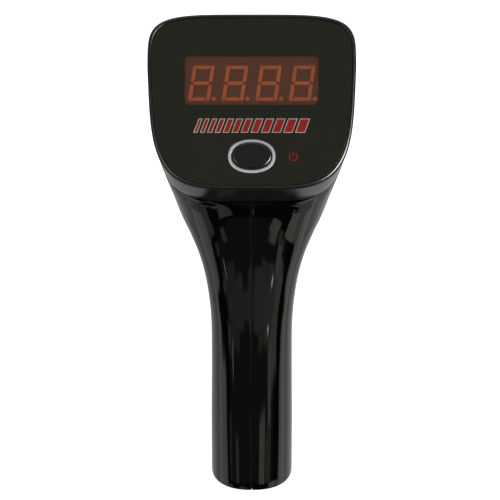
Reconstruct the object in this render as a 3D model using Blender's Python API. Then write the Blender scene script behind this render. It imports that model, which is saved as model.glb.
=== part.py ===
"""Hand-held speed radar gun, as the separate pieces it is assembled from.

Sizes are in millimetres and become metres where a mesh is made.  The origin is the centre of the grip's base,
+Z is up, +Y is the way the radar beam leaves and -Y is the user's side, where the display is.
"""

import math

import bmesh
import bpy
import numpy as np
from mathutils import Matrix, Vector

MM = 0.001

# Walls and clearances: between seated pieces, along the lines between mouldings, and round what fits a hole
WALL = 2.1
BASE_WALL = 2.5
RIB = 1.6
GAP = 0.3
PARTING = 0.3
FIT = 0.2
# How far a cutter runs past the gun, and how far two pieces that become one run into each other
BEYOND = 300.0
SINK = 0.5

# Two C cells stacked in the grip, leaning with it; the head begins at the neck, above them
CELL_RADIUS = 13.1
CELL_LONG = 49.2
CELL_EDGE = 0.8
CELL_NUB = (3.2, 0.8)
CELL_FOOT = (-3.6, 9.6)
CELL_LEAN = math.radians(5.2)
CELL_STACK = 2 * (CELL_LONG + CELL_NUB[1]) + GAP
CELL_RIB_LEVELS = (CELL_FOOT[1] + 0.374 * CELL_LONG, CELL_FOOT[1] + 1.187 * CELL_LONG)
NECK = CELL_FOOT[1] + CELL_STACK

# Rear face: a D-shaped rim, leaning back so that it looks up at the user
FACE_TILT = math.radians(30)
FACE_HEIGHT = 67.4
FACE_HALF_WIDTH = 38.8
FACE_SHAPE = (0.70, 3.2, 4.6)
RIM_FOOT_Y = -24.5
RIM_FOOT_Z = NECK + 12.7
RIM_RADIUS = 1.0
RIM_WIDTH = 1.3
BEZEL_DEPTH = 15.2
BEZEL_DRAFT = 1.1
BEZEL_LIP = WALL + 0.85
BEZEL_LIP_WALL = 1.4
BEZEL_LIP_LONG = 2.0
BEZEL_SLEEVE = 3.3

# Housing sections: rear rail y, z; front rail y, z; half width; widest place; two powers
# Those of the head have their heights above the neck, and those of the grip above its base
HEAD_SECTIONS = (
    (-10.8, 1.4, 43.2, 47.1, 36.5, 0.66, 2.9, 4.0),
    (-10.4, -2.0, 62.8, 33.3, 35.6, 0.60, 2.7, 3.6),
    (-10.4, -5.9, 66.7, 13.7, 32.0, 0.55, 2.6, 3.2),
    (-10.6, -9.9, 60.8, -3.9, 28.4, 0.52, 2.5, 2.9),
    (-11.0, -14.7, 43.2, -14.7, 24.1, 0.50, 2.4, 2.6),
    (-12.0, -21.6, 30.4, -23.6, 20.3, 0.50, 2.4, 2.5),
    (-13.7, -31.4, 25.5, -33.4, 17.6, 0.50, 2.4, 2.5),
    (-16.0, -45.2, 23.1, -46.1, 15.9, 0.50, 2.4, 2.5),
)
GRIP_SECTIONS = (
    (-18.2, 47.1, 22.1, 47.1, 15.7, 0.50, 2.4, 2.5),
    (-20.1, 24.5, 21.6, 24.5, 15.9, 0.50, 2.5, 2.5),
    (-21.2, 1.2, 21.6, 1.2, 15.7, 0.50, 2.7, 2.7),
)
SEAM_HALF_WIDTH = 37.7
BASE_RADIUS = 1.2
# Facets round the outer skin, round what is hidden, and round small turned pieces
RING_COUNT = 32
INNER_COUNT = 20
TURN_COUNT = 10
WIDE_TURN_COUNT = 24
SMOOTH_UNDER = math.radians(35)

# Face panel, window, four-digit display module and push-button
PANEL_DROP = 0.2
PANEL_THICK = 1.4
FLOOR_THICK = 2.1
WINDOW = (50.6, 19.4)
WINDOW_CORNER = 1.9
WINDOW_UP = 41.2
WINDOW_FLANGE = 1.5
FLANGE_THICK = 0.8
MODULE = (50.3, 19.0, 8.0)
MODULE_WALL = 1.2
DIGIT = (8.0, 14.2)
DIGIT_PITCH = 12.7
DIGIT_SLANT = math.radians(8)
SEGMENT = 1.75
SEGMENT_GAP = 0.3
SEGMENT_ROOM = 0.12
DOT_RADIUS = 0.85
DOT_RIGHT = 1.85
BUTTON_UP = 12.1
BUTTON = (15.0, 10.0)
BUTTON_EDGE = 0.8
BUTTON_CROWN = 0.12
BUTTON_RISE = 1.2
BUTTON_TRAVEL = 1.0
BUTTON_FLANGE = 1.2
BUTTON_FLANGE_THICK = 1.0
BUTTON_STEM = 2.2
BUTTON_RING = (18.0, 13.2)
BUTTON_RING_RISE = 0.15
SWITCH_SIZE = 6.0
SWITCH_HIGH = 3.2
PLUNGER_RADIUS = 1.7
PLUNGER_LONG = 2.3
BOARD_THICK = 1.6
BOARD_HALF = 26.6
BOARD_TOP_EDGE = 57.6
BOARD_FOOT = 6.6
BOARD_NECK_HALF = 16.0
# The board's soldered parts: low and high corners on its rear face
BOARD_PARTS = (
    ((-18, 36), (-8, 46), 1.4),
    ((6, 38), (20, 44), 1.6),
    ((-14, 26), (-6, 31), 1.2),
    ((9, 26), (15, 31), 2.2),
    ((-3, 46), (3, 50), 1.0),
)
BOARD_CAN = (3.1, 7.0)
BOARD_CAN_AT = (-18.0, 28.0)

# Screws: shank radius, head radius, head height
SHELL_SCREW = (1.25, 2.1, 1.6)
BEZEL_SCREW = (1.25, 2.1, 1.4)
BOARD_SCREW = (1.0, 1.9, 1.3)
SHELL_BOSS = 3.3
BEZEL_BOSS = 3.2
BOARD_BOSS = 2.3
# The shells' screws at y and z, and how far from the parting plane their heads seat and their points end
SHELL_SCREW_PLACES = ((16.0, 18.0), (17.4, 57.0), (40.0, NECK - 3.3), (31.0, NECK + 40.1))
SHELL_SCREW_SEAT = 6.0
SHELL_SCREW_END = 8.5
# Places up the face, with how far in from the face's or the board's edge
BEZEL_SCREW_ROWS = ((5.8, 57.0), (15.2, 9.0))
BOARD_SCREW_ROWS = ((5.1, 54.2), (4.6, 21.0))

# Battery door in the base, hinged at its front
DOOR_THICK = 2.2
DOOR_PIN = (16.0, 2.4)
DOOR_PIN_RADIUS = 1.0
DOOR_PIN_OVER = 2.7
KNUCKLE_RADIUS = 2.2
KNUCKLE_HALF = 5.4
DOOR_PLATE_END = 13.2
# The plate ends in a slope, so that its upper edge clears the shells as it swings down
DOOR_END_SLOPE = 1.4
DOOR_SNAP_HALF = 4.0
DOOR_SNAP = ((-16.8, DOOR_THICK - SINK), (-15.6, 6.4))
CONTACT_THICK = 0.7
UPPER_CONTACT = ((-7.0, -6.0), (7.0, 8.0))
EARTH_CONTACT = ((6.6, -15.75, 6.0), (8.8, -15.1, 12.0))
DOOR_CONTACT_RADIUS = 9.0
BATTERY_WIRE = 0.4
BATTERY_SPRING = (7.6, 3.4)
BATTERY_TURNS = 3.2
# How far the leaning cell's foot dips over the spring
LEAN_DIP = 0.45

# Trigger, its pin, spring and switch; the blade's outline is y and z from the pin
TRIGGER_PIN = (34.0, NECK - 12.9)
TRIGGER_PIN_RADIUS = 1.5
TRIGGER_PIN_OVER = 6.7
TRIGGER_HALF = 4.7
TRIGGER_BLADE = (
    (-3.0, -1.0), (-4.0, -6.0), (-4.2, -10.0), (-3.0, -16.0), (-0.2, -23.2), (1.0, -24.6), (3.0, -24.8),
    (4.0, -23.4), (2.6, -19.0), (2.1, -14.5), (2.6, -9.5), (3.6, -4.5), (3.2, 0.0), (0.0, 2.0),
)
TRIGGER_SLOT_LOW = (-8.0, -37.0)
TRIGGER_SLOT_HIGH = (8.4, 3.4)
TRIGGER_SLOT_ROOM = 0.6
HUB_RADIUS = 3.2
NUB_HALF = 2.4
NUB_HEIGHTS = (-6.0, -3.4)
LEVER_HALF = 3.0
LEVER_HEIGHTS = (4.4, 7.0)
TRIGGER_SWITCH = (6.4, 5.8, 12.6)
TRIGGER_SWITCH_AT = (22.2, NECK - 16.5)
SWITCH_POST = 1.8
SWITCH_POST_STEP = 3.4
PRESS = (3.0, 2.6, 1.6)
PRESS_OUT = 1.4
PRESS_Z = TRIGGER_PIN[1] - 4.7
SPRING_Y = 24.0
SPRING_SEAT = NECK + 0.7
TRIGGER_WIRE = 0.25
TRIGGER_SPRING = (2.1, 2.1)
TRIGGER_TURNS = 4.6

# Radar horn behind the radome, and the transceiver behind the horn
RADOME_Y = 56.0
RADOME_WALL = 2.0
RADOME_LIP = (WALL + 0.5, WALL + 1.9)
RADOME_LIP_LONG = 2.0
RADOME_SHELF = RADOME_Y + 1.9
HORN_Z = NECK + 16.1
HORN_MOUTH = 19.0
HORN_THROAT = 6.5
HORN_WALL = 1.2
HORN_MOUTH_Y = 53.0
HORN_THROAT_Y = 26.0
HORN_FLANGE_Y = 19.0
HORN_FLANGE = 3.5
HORN_FLANGE_THICK = 2.0
HORN_RIB = 1.5
TRANSCEIVER = (18.0, 11.0, 18.0)
LEAD_RADIUS = 0.65

GLOSS_BLACK = (0.012, 0.012, 0.012)
SATIN_BLACK = (0.02, 0.02, 0.021)
NYLON_BLACK = (0.015, 0.015, 0.015)
CASE_BLACK = (0.045, 0.045, 0.047)
STEEL = (0.6, 0.6, 0.6)
DARK_STEEL = (0.2, 0.2, 0.2)
NICKEL = (0.7, 0.68, 0.6)
PLUNGER_RED = (0.35, 0.04, 0.03)

for old in list(bpy.data.objects):
    bpy.data.objects.remove(old, do_unlink=True)

scene = bpy.context.scene
parts = bpy.data.collections.new("speed_radar_gun")
cutters = bpy.data.collections.new("cutters")
cutters.hide_render = True
scene.collection.children.link(parts)
scene.collection.children.link(cutters)

HOUSING = [(s[0], NECK + s[1], s[2], NECK + s[3], *s[4:]) for s in HEAD_SECTIONS] + list(GRIP_SECTIONS)
BEZEL_SCREW_PLACES = [
    (side * (FACE_HALF_WIDTH - inset), up) for inset, up in BEZEL_SCREW_ROWS for side in (-1, 1)
]
BOARD_SCREW_PLACES = [(side * (BOARD_HALF - inset), up) for inset, up in BOARD_SCREW_ROWS for side in (-1, 1)]
UP = Vector((0, math.sin(FACE_TILT), math.cos(FACE_TILT)))
INTO = Vector((0, math.cos(FACE_TILT), -math.sin(FACE_TILT)))
RIM_FOOT = Vector((0, RIM_FOOT_Y, RIM_FOOT_Z))
# Face coordinates: x across, y up the face, z into the gun from the crest of the rim
FACE = Matrix(
    ((1, 0, 0, 0), (0, UP.y, INTO.y, RIM_FOOT_Y), (0, UP.z, INTO.z, RIM_FOOT_Z), (0, 0, 0, 1))
)
# Cell coordinates: z runs up the stack from the foot of the lower cell
CELL = Matrix.Translation((0, *CELL_FOOT)) @ Matrix.Rotation(-CELL_LEAN, 4, "X")
# Beam coordinates: z runs forward along the horn's axis
BEAM = Matrix.Translation((0, 0, HORN_Z)) @ Matrix.Rotation(-math.pi / 2, 4, "X")
# Side-view coordinates: x forward, y up, z across the gun
SIDE = Matrix(((0, 0, 1, 0), (1, 0, 0, 0), (0, 1, 0, 0), (0, 0, 0, 1)))
FLAT = Matrix.Identity(4)

# Depths behind the crest of the rim, from the panel's back to the board's back
PANEL_BACK = PANEL_DROP + PANEL_THICK
FLOOR_TOP = PANEL_BACK + GAP
FLOOR_BACK = FLOOR_TOP + FLOOR_THICK
MODULE_TOP = FLOOR_TOP + FLANGE_THICK + GAP + FIT
BOARD_TOP = MODULE_TOP + MODULE[2] + GAP
BOARD_BACK = BOARD_TOP + BOARD_THICK
BEZEL_END = BEZEL_DEPTH - PARTING / 2


def paint(obj, colour, rough=0.5, metal=0.0):
    """Makes a helper a piece of the gun, with its own material."""
    material = bpy.data.materials.new(obj.name)
    material.use_nodes = True
    shader = material.node_tree.nodes["Principled BSDF"]
    shader.inputs["Base Color"].default_value = (*colour, 1)
    shader.inputs["Roughness"].default_value = rough
    shader.inputs["Metallic"].default_value = metal
    obj.data.materials.append(material)
    if obj.modifiers:
        # Booleans leave points in the middle of straight edges, which would make sliver faces
        flat = obj.modifiers.new("tidy_flats", "DECIMATE")
        flat.decimate_type = "DISSOLVE"
        flat.angle_limit = math.radians(0.2)
    cutters.objects.unlink(obj)
    parts.objects.link(obj)
    obj.hide_render = False
    obj.display_type = "TEXTURED"
    return obj


def solid(name, bm):
    """Links the mesh as a helper; paint() makes it a piece of the gun."""
    bmesh.ops.recalc_face_normals(bm, faces=bm.faces)
    if bm.calc_volume(signed=True) < 0:
        bmesh.ops.reverse_faces(bm, faces=bm.faces)
    bmesh.ops.scale(bm, vec=(MM, MM, MM), verts=bm.verts)
    mesh = bpy.data.meshes.new(name)
    bm.to_mesh(mesh)
    bm.free()
    mesh.shade_smooth()
    mesh.set_sharp_from_angle(angle=SMOOTH_UNDER)
    obj = bpy.data.objects.new(name, mesh)
    obj.hide_render = True
    obj.display_type = "WIRE"
    cutters.objects.link(obj)
    return obj


def boolean(obj, other, operation):
    modifier = obj.modifiers.new(other.name, "BOOLEAN")
    modifier.operation = operation
    modifier.object = other
    modifier.solver = "EXACT"
    return obj


def cut(obj, *others):
    for other in others:
        boolean(obj, other, "DIFFERENCE")
    return obj


def join(obj, *others):
    for other in others:
        boolean(obj, other, "UNION")
    return obj


def keep(obj, other):
    return boolean(obj, other, "INTERSECT")


def box(name, low, high, frame=FLAT):
    bm = bmesh.new()
    bmesh.ops.create_cube(bm, size=1)
    low, high = Vector(low), Vector(high)
    bmesh.ops.scale(bm, vec=high - low, verts=bm.verts)
    bmesh.ops.translate(bm, vec=(low + high) / 2, verts=bm.verts)
    bm.transform(frame)
    return solid(name, bm)


def turned(name, profile, frame, sides=TURN_COUNT, closed=False):
    """A profile of (radius, distance along the frame's z) pairs, spun round that axis."""
    points = list(profile) if closed else [(0, profile[0][1]), *profile, (0, profile[-1][1])]
    bm = bmesh.new()
    verts = [bm.verts.new((radius, 0, along)) for radius, along in points]
    edges = [bm.edges.new(pair) for pair in zip(verts, verts[1:])]
    if closed:
        edges.append(bm.edges.new((verts[-1], verts[0])))
    half_step = Matrix.Rotation(math.pi / sides, 4, "Z")
    bm.transform(half_step)
    bmesh.ops.spin(
        bm, geom=verts + edges, axis=(0, 0, 1), cent=(0, 0, 0), angle=2 * math.pi, steps=sides, use_merge=True
    )
    bmesh.ops.remove_doubles(bm, verts=bm.verts, dist=0.001)
    ends = [] if closed else [v for v in bm.verts if v.co.xy.length < 0.001]
    bmesh.ops.dissolve_verts(bm, verts=ends)
    bm.transform(frame)
    return solid(name, bm)


def across(y, z, sign=1):
    """A frame whose z runs along +X (or -X) from the middle of the gun at this y and z."""
    return Matrix.Translation((0, y, z)) @ Matrix.Rotation(sign * math.pi / 2, 4, "Y")


def face_point(x, up):
    """A frame on the face at this place, whose z runs into the gun."""
    return FACE @ Matrix.Translation((x, up, 0))


def extrude(bm, outline, low, high):
    face = bm.faces.new([bm.verts.new((*point, low)) for point in outline])
    grown = bmesh.ops.extrude_face_region(bm, geom=[face])["geom"]
    top = [part for part in grown if isinstance(part, bmesh.types.BMVert)]
    bmesh.ops.translate(bm, vec=(0, 0, high - low), verts=top)


def prism(name, outline, low, high, frame=FLAT):
    """An outline in the frame's x and y, extruded along its z."""
    bm = bmesh.new()
    extrude(bm, outline, low, high)
    bm.transform(frame)
    return solid(name, bm)


def loft(name, rings):
    """Skins unlike rings of equal point counts, and caps the ends."""
    bm = bmesh.new()
    rows = [[bm.verts.new(point) for point in ring] for ring in rings]
    for one, two in zip(rows, rows[1:]):
        for i in range(len(one)):
            j = (i + 1) % len(one)
            bm.faces.new((one[i], one[j], two[j], two[i]))
    # Twisted four-sided faces would make the Booleans guess, so the skin is cut into flat triangles
    bmesh.ops.triangulate(bm, faces=bm.faces)
    bm.faces.new(rows[0])
    bm.faces.new(rows[-1])
    return solid(name, bm)


def oval(size, spread=0.0, power=2.2):
    """The button's rounded oval, this much wider and higher."""
    points = []
    for i in range(RING_COUNT):
        a = 2 * math.pi * i / RING_COUNT
        x, y = (
            math.copysign(abs(wave) ** (2 / power), wave) * (side + spread) / 2
            for wave, side in zip((math.cos(a), math.sin(a)), size)
        )
        points.append((x, y + BUTTON_UP))
    return points


def round_rect(size, radius, spread=0.0, steps=5):
    """The window's outline, this much wider and higher."""
    points = []
    for quarter, (sx, sy) in enumerate(((1, 1), (-1, 1), (-1, -1), (1, -1))):
        for i in range(steps + 1):
            a = (quarter + i / steps) * math.pi / 2
            x = sx * ((size[0] + spread) / 2 - radius) + radius * math.cos(a)
            y = sy * ((size[1] + spread) / 2 - radius) + radius * math.sin(a)
            points.append((x, y + WINDOW_UP))
    return points


def grown(points, amount):
    """A convex outline, drawn anticlockwise, with each edge moved out by the amount."""
    result = []
    for i, here in enumerate(points):
        before, after = Vector(points[i - 1]), Vector(points[(i + 1) % len(points)])
        here = Vector(here)
        one, two = (here - before).normalized(), (after - here).normalized()
        n_one, n_two = Vector((one.y, -one.x)), Vector((two.y, -two.x))
        result.append(tuple(here + (n_one + n_two) * amount / (1 + n_one.dot(n_two))))
    return result


def tube(name, points, radius, smooth=True):
    """A wire along the points: a smooth lead, or an unbroken coil where the points already follow it."""
    curve = bpy.data.curves.new(name, "CURVE")
    curve.dimensions = "3D"
    curve.bevel_depth = radius * MM
    curve.bevel_resolution = 1
    curve.resolution_u = 3
    curve.use_fill_caps = True
    spline = curve.splines.new("BEZIER" if smooth else "POLY")
    if smooth:
        spline.bezier_points.add(len(points) - 1)
        for knot, point in zip(spline.bezier_points, points):
            knot.co = Vector(point) * MM
            knot.handle_left_type = knot.handle_right_type = "AUTO"
    else:
        spline.points.add(len(points) - 1)
        for knot, point in zip(spline.points, points):
            knot.co = (*(Vector(point) * MM), 1)
    guide = bpy.data.objects.new(name + "_guide", curve)
    cutters.objects.link(guide)
    graph = bpy.context.evaluated_depsgraph_get()
    mesh = bpy.data.meshes.new_from_object(guide.evaluated_get(graph))
    bpy.data.objects.remove(guide, do_unlink=True)
    bm = bmesh.new()
    bm.from_mesh(mesh)
    bmesh.ops.remove_doubles(bm, verts=bm.verts, dist=1e-7)
    bmesh.ops.scale(bm, vec=(1 / MM,) * 3, verts=bm.verts)
    return solid(name, bm)


def spring(name, turns, span, radii, wire, frame, per_turn=10):
    """One unbroken wire whose end turns lie closer than the rest; prints its least gap to itself."""
    end_turns, end_rise = 0.6, 0.08
    count = round(turns * per_turn)
    points = []
    for i in range(count + 1):
        turn = i / per_turn
        rise = np.interp(turn, (0, end_turns, turns - end_turns, turns), (0, end_rise, 1 - end_rise, 1))
        radius = radii[0] + (radii[1] - radii[0]) * i / count
        a = 2 * math.pi * turn
        height = span[0] + (span[1] - span[0]) * rise
        points.append(frame @ Vector((radius * math.cos(a), radius * math.sin(a), height)))
    pairs = [(p, q) for i, p in enumerate(points) for q in points[i + per_turn * 3 // 4 :]]
    print(f"{name}: least gap to itself {min((p - q).length for p, q in pairs) - 2 * wire:.2f} mm")
    return tube(name, points, wire, False)


# The outer form: one skin carried on a rear and a front rail
def rim_section(depth):
    """Section of the bezel's outside at this depth behind the crest of the rim."""
    share = max(depth - RIM_RADIUS, 0) / (BEZEL_DEPTH - RIM_RADIUS)
    rear = RIM_FOOT + INTO * depth - UP * BEZEL_DRAFT * share
    front = RIM_FOOT + UP * FACE_HEIGHT + INTO * depth + UP * BEZEL_DRAFT * share
    half = FACE_HALF_WIDTH + (SEAM_HALF_WIDTH - FACE_HALF_WIDTH) * share
    return (rear.y, rear.z, front.y, front.z, half, *FACE_SHAPE)


def ring(section, inset=0.0, count=RING_COUNT):
    """A rounded outline between the section's two rails, moved in by the inset."""
    rear, front = Vector(section[:2]), Vector(section[2:4])
    along = (front - rear).normalized()
    rear, front = rear + along * inset, front - along * inset
    half, widest, low, high = section[4] - inset, *section[5:]
    points = []
    for i in range(count):
        a = 2 * math.pi * i / count
        c, s = math.cos(a), math.sin(a)
        power = low if c > 0 else high
        x = half * math.copysign(abs(s) ** (2 / power), s)
        reach = abs(c) ** (2 / power)
        at = rear.lerp(front, widest - widest * reach if c > 0 else widest + (1 - widest) * reach)
        points.append(Vector((x, at.x, at.y)))
    return points


def smooth_sections(steps):
    """Sections from the seam to the base, eased through the stations."""
    stations = [rim_section(BEZEL_DEPTH), *HOUSING]
    result = []
    for i in range(len(stations) - 1):
        one, two = stations[i], stations[i + 1]
        before = stations[i - 1] if i else None
        after = stations[i + 2] if i + 2 < len(stations) else None
        for step in range(steps):
            t = step / steps
            h = (2 * t**3 - 3 * t**2 + 1, t**3 - 2 * t**2 + t, -2 * t**3 + 3 * t**2, t**3 - t**2)
            result.append(
                tuple(
                    h[0] * p + h[1] * ((q - before[k]) / 2 if before else q - p)
                    + h[2] * q + h[3] * ((after[k] - p) / 2 if after else q - p)
                    for k, (p, q) in enumerate(zip(one, two))
                )
            )
    return [*result, stations[-1]]


def shifted(section, depth):
    step = INTO * depth
    return (section[0] + step.y, section[1] + step.z, section[2] + step.y, section[3] + step.z, *section[4:])


def base_section(z):
    return (HOUSING[-1][0], z, HOUSING[-1][2], z, *HOUSING[-1][4:])


def rounded_edge(radius, steps=3):
    """(depth, inset) pairs round a quarter circle, from the side to the flat."""
    turns = [i / steps * math.pi / 2 for i in range(steps + 1)]
    return [(radius * (1 - math.sin(a)), radius * (1 - math.cos(a))) for a in turns]


def housing(name, inset, lead, foot, steps=2):
    """The housing's form moved in by the inset, from this depth past the seam down to this height."""
    count = INNER_COUNT if inset else RING_COUNT
    sections = smooth_sections(steps)
    start = [shifted(sections[0], lead)] if lead < 0 else []
    first = shifted(sections[0], max(lead, 0.0))
    rings = [ring(s, inset, count) for s in [*start, first, *sections[1:-1]]]
    if inset:
        rings.append(ring(base_section(foot), inset, count))
    else:
        rings += [ring(base_section(height), edge) for height, edge in rounded_edge(BASE_RADIUS)]
    return loft(name, rings)


def face_outline(inset):
    """The rim's outline, moved in by the inset, in face coordinates."""
    return [(p.x, (p - RIM_FOOT).dot(UP)) for p in ring(rim_section(0), inset)]


inside = housing("housing_inside", WALL, -4.0, BASE_WALL)
middle = housing("housing_middle", WALL / 2, 0.8, 0.8)

# Mouldings inside the two half shells: bosses, ribs and seats, trimmed to the middle of the wall
contact_low = CELL_STACK + GAP
stop_low = contact_low + CONTACT_THICK + 2 * GAP
(_, contact_rear), (_, contact_front) = UPPER_CONTACT
ribs = box(
    "ribs", (-BEYOND, contact_rear - 1.4, stop_low), (BEYOND, contact_front + 0.4, stop_low + RIB), CELL
)
for level in CELL_RIB_LEVELS:
    join(ribs, box("cell_rib_front", (-30, 4, level), (30, 40, level + RIB)))
    join(ribs, box("cell_rib_rear", (-5, -40, level), (5, -4, level + RIB)))
spring_reach = TRIGGER_SPRING[0] + TRIGGER_WIRE + 1.0
seat_low = (-BEYOND, SPRING_Y - spring_reach, SPRING_SEAT)
join(ribs, box("spring_seat_rib", seat_low, (BEYOND, SPRING_Y + spring_reach, SPRING_SEAT + RIB)))
for y in (HORN_THROAT_Y + HORN_RIB, HORN_MOUTH_Y - 2 * HORN_RIB):
    join(ribs, box("horn_rib", (-BEYOND, y, NECK + 4.6), (BEYOND, y + HORN_RIB, BEYOND)))
for place in SHELL_SCREW_PLACES:
    join(ribs, turned("shell_boss", ((SHELL_BOSS, -BEYOND), (SHELL_BOSS, BEYOND)), across(*place)))
for sign in (-1, 1):
    pin_boss = ((HUB_RADIUS, TRIGGER_HALF + 3 * GAP), (HUB_RADIUS, BEYOND))
    join(ribs, turned("trigger_boss", pin_boss, across(*TRIGGER_PIN, sign)))
    for step in (-SWITCH_POST_STEP, SWITCH_POST_STEP):
        post = ((SWITCH_POST, TRIGGER_SWITCH[0] / 2 + GAP), (SWITCH_POST, BEYOND))
        at = across(TRIGGER_SWITCH_AT[0], TRIGGER_SWITCH_AT[1] + step, sign)
        join(ribs, turned("switch_post", post, at))
    ear = ((KNUCKLE_RADIUS, KNUCKLE_HALF + GAP), (KNUCKLE_RADIUS, 30))
    join(ribs, turned("door_ear", ear, across(*DOOR_PIN, sign)))
boss_top = BEZEL_DEPTH + BEZEL_LIP_LONG + 0.4
for x, up in BEZEL_SCREW_PLACES:
    at = face_point(x, up)
    low, high = sorted((0, math.copysign(12, x)))
    join(ribs, turned("bezel_boss", ((BEZEL_BOSS, boss_top), (BEZEL_BOSS, boss_top + 6.6)), at))
    join(ribs, box("bezel_web", (low, -1.5, boss_top + 0.4), (high, 1.5, boss_top + 5.8), at))
keep(ribs, middle)

# What is cut from the shells
cell_room_radius = CELL_RADIUS + GAP
cell_room = turned(
    "cell_room", ((cell_room_radius, -7.4), (cell_room_radius, CELL_STACK + 1.0)), CELL, INNER_COUNT
)
nose_room = box("nose_room", (-BEYOND, RADOME_Y - PARTING / 2, 0), (BEYOND, BEYOND, BEYOND))
slot_half = TRIGGER_HALF + TRIGGER_SLOT_ROOM
slot_low = [pin + reach for pin, reach in zip(TRIGGER_PIN, TRIGGER_SLOT_LOW)]
slot_high = [pin + reach for pin, reach in zip(TRIGGER_PIN, TRIGGER_SLOT_HIGH)]
slot = box("trigger_slot", (-slot_half, *slot_low), (slot_half, *slot_high))
door_room_outline = [(p.x, p.y) for p in ring(base_section(0), WALL + FIT)]
door_room = prism("door_room", door_room_outline, -2, BASE_WALL + 3.2)
cut(door_room, box("door_room_end", (-BEYOND, DOOR_PLATE_END + GAP, -BEYOND), (BEYOND, BEYOND, BEYOND)))
knuckle_front = DOOR_PIN[0] + KNUCKLE_RADIUS + 2 * GAP
knuckle_top = DOOR_PIN[1] + KNUCKLE_RADIUS + GAP
knuckle_room = box(
    "knuckle_room", (-KNUCKLE_HALF - GAP, 8, -2), (KNUCKLE_HALF + GAP, knuckle_front, knuckle_top)
)
horn_room_mouth, horn_room_throat = (radius + HORN_WALL + GAP for radius in (HORN_MOUTH, HORN_THROAT))
horn_room = turned(
    "horn_room",
    (
        (horn_room_throat, HORN_FLANGE_Y + 1.0), (horn_room_throat, HORN_THROAT_Y),
        (horn_room_mouth, HORN_MOUTH_Y), (horn_room_mouth, HORN_MOUTH_Y + 17.0),
    ),
    BEAM,
    WIDE_TURN_COUNT,
)
holes = [cell_room, nose_room, slot, door_room, knuckle_room, horn_room]


def pin_hole(name, radius, half, place):
    return turned(name, ((radius + FIT, -half), (radius + FIT, half)), across(*place))


trigger_pin_half = TRIGGER_HALF + TRIGGER_PIN_OVER
door_pin_half = KNUCKLE_HALF + DOOR_PIN_OVER
holes.append(pin_hole("trigger_pin_hole", TRIGGER_PIN_RADIUS, trigger_pin_half + GAP, TRIGGER_PIN))
holes.append(pin_hole("door_pin_hole", DOOR_PIN_RADIUS, door_pin_half + GAP, DOOR_PIN))
for place in SHELL_SCREW_PLACES:
    shank, head, _ = SHELL_SCREW
    run = (
        (head + GAP, -BEYOND), (head + GAP, -SHELL_SCREW_SEAT), (shank + FIT, -SHELL_SCREW_SEAT),
        (shank + FIT, SHELL_SCREW_END + GAP),
    )
    holes.append(turned("shell_screw_hole", run, across(*place)))
bezel_screw_end = BEZEL_DEPTH + 7.0
for place in BEZEL_SCREW_PLACES:
    pilot = BEZEL_SCREW[0] + FIT
    run = ((pilot, BEZEL_DEPTH - 4), (pilot, bezel_screw_end + 1.0))
    holes.append(turned("bezel_screw_pilot", run, face_point(*place)))

for side, sign in (("left", -1), ("right", 1)):
    shell = housing(f"{side}_shell", 0.0, PARTING / 2, 0.0)
    low, high = sorted((sign * PARTING / 2, sign * BEYOND))
    cut(shell, inside)
    join(shell, ribs)
    cut(shell, *holes)
    keep(shell, box(f"{side}_half", (low, -BEYOND, -BEYOND), (high, BEYOND, BEYOND)))
    paint(shell, GLOSS_BLACK, 0.12)


# Radome: the nose's own skin, with a shelf across its edge and a lip inside the shells
def nose_part(name, inset, low, high):
    piece = housing(name, inset, 1.0, 2.0)
    return keep(piece, box(name + "_part", (-BEYOND, low, 0), (BEYOND, high, BEYOND)))


radome = nose_part("radome", 0.0, RADOME_Y + PARTING / 2, BEYOND)
cut(radome, nose_part("radome_hollow", RADOME_WALL, RADOME_SHELF, BEYOND))
join(radome, nose_part("radome_lip", RADOME_LIP[0], RADOME_Y - RADOME_LIP_LONG, RADOME_SHELF - 0.7))
cut(radome, nose_part("radome_mouth", RADOME_LIP[1], RADOME_Y - 5.0, RADOME_SHELF + 1.0))
paint(radome, SATIN_BLACK, 0.45)

# Rear bezel: a deep cap with a floor behind the panel and a lip inside the shells
skin = [ring(rim_section(depth), inset) for depth, inset in rounded_edge(RIM_RADIUS)[::-1]]
skin += [ring(rim_section(BEZEL_END * share)) for share in (0.5, 1.0)]
skin += [ring(rim_section(depth), BEZEL_LIP) for depth in (BEZEL_END, BEZEL_DEPTH + BEZEL_LIP_LONG)]
bezel = loft("rear_bezel", skin)
lip_inside = BEZEL_LIP + BEZEL_LIP_WALL
hollow = (
    (FLOOR_BACK, WALL), (BEZEL_DEPTH - 5, WALL), (BEZEL_DEPTH - 3, lip_inside), (BEZEL_DEPTH + 4, lip_inside)
)
cut(bezel, loft("bezel_hollow", [ring(rim_section(depth), inset, INNER_COUNT) for depth, inset in hollow]))
cut(bezel, prism("panel_recess", face_outline(RIM_WIDTH), -5, FLOOR_TOP, FACE))
sleeve_trim = loft("sleeve_trim", [ring(rim_section(depth), 1.0, INNER_COUNT) for depth in (1.0, BEZEL_END)])
for place in BEZEL_SCREW_PLACES:
    run = ((BEZEL_SLEEVE, FLOOR_BACK - 1), (BEZEL_SLEEVE, BEZEL_END - FIT))
    join(bezel, keep(turned("bezel_sleeve", run, face_point(*place)), sleeve_trim))
for place in BOARD_SCREW_PLACES:
    run = ((BOARD_BOSS, FLOOR_BACK - 1), (BOARD_BOSS, BOARD_TOP - GAP))
    join(bezel, turned("board_boss", run, face_point(*place)))
flange = [side + 2 * WINDOW_FLANGE for side in WINDOW]
flange_corner = WINDOW_CORNER + WINDOW_FLANGE
flange_room = round_rect(flange, flange_corner, 2 * GAP)
cut(
    bezel,
    prism("window_hole", round_rect(MODULE, 1.0, 0.8), -5, FLOOR_BACK + 2, FACE),
    prism("flange_room", flange_room, -5, FLOOR_TOP + FLANGE_THICK + GAP, FACE),
    prism("button_hole", oval(BUTTON, 0.9), -5, FLOOR_BACK + 2, FACE),
)
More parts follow.
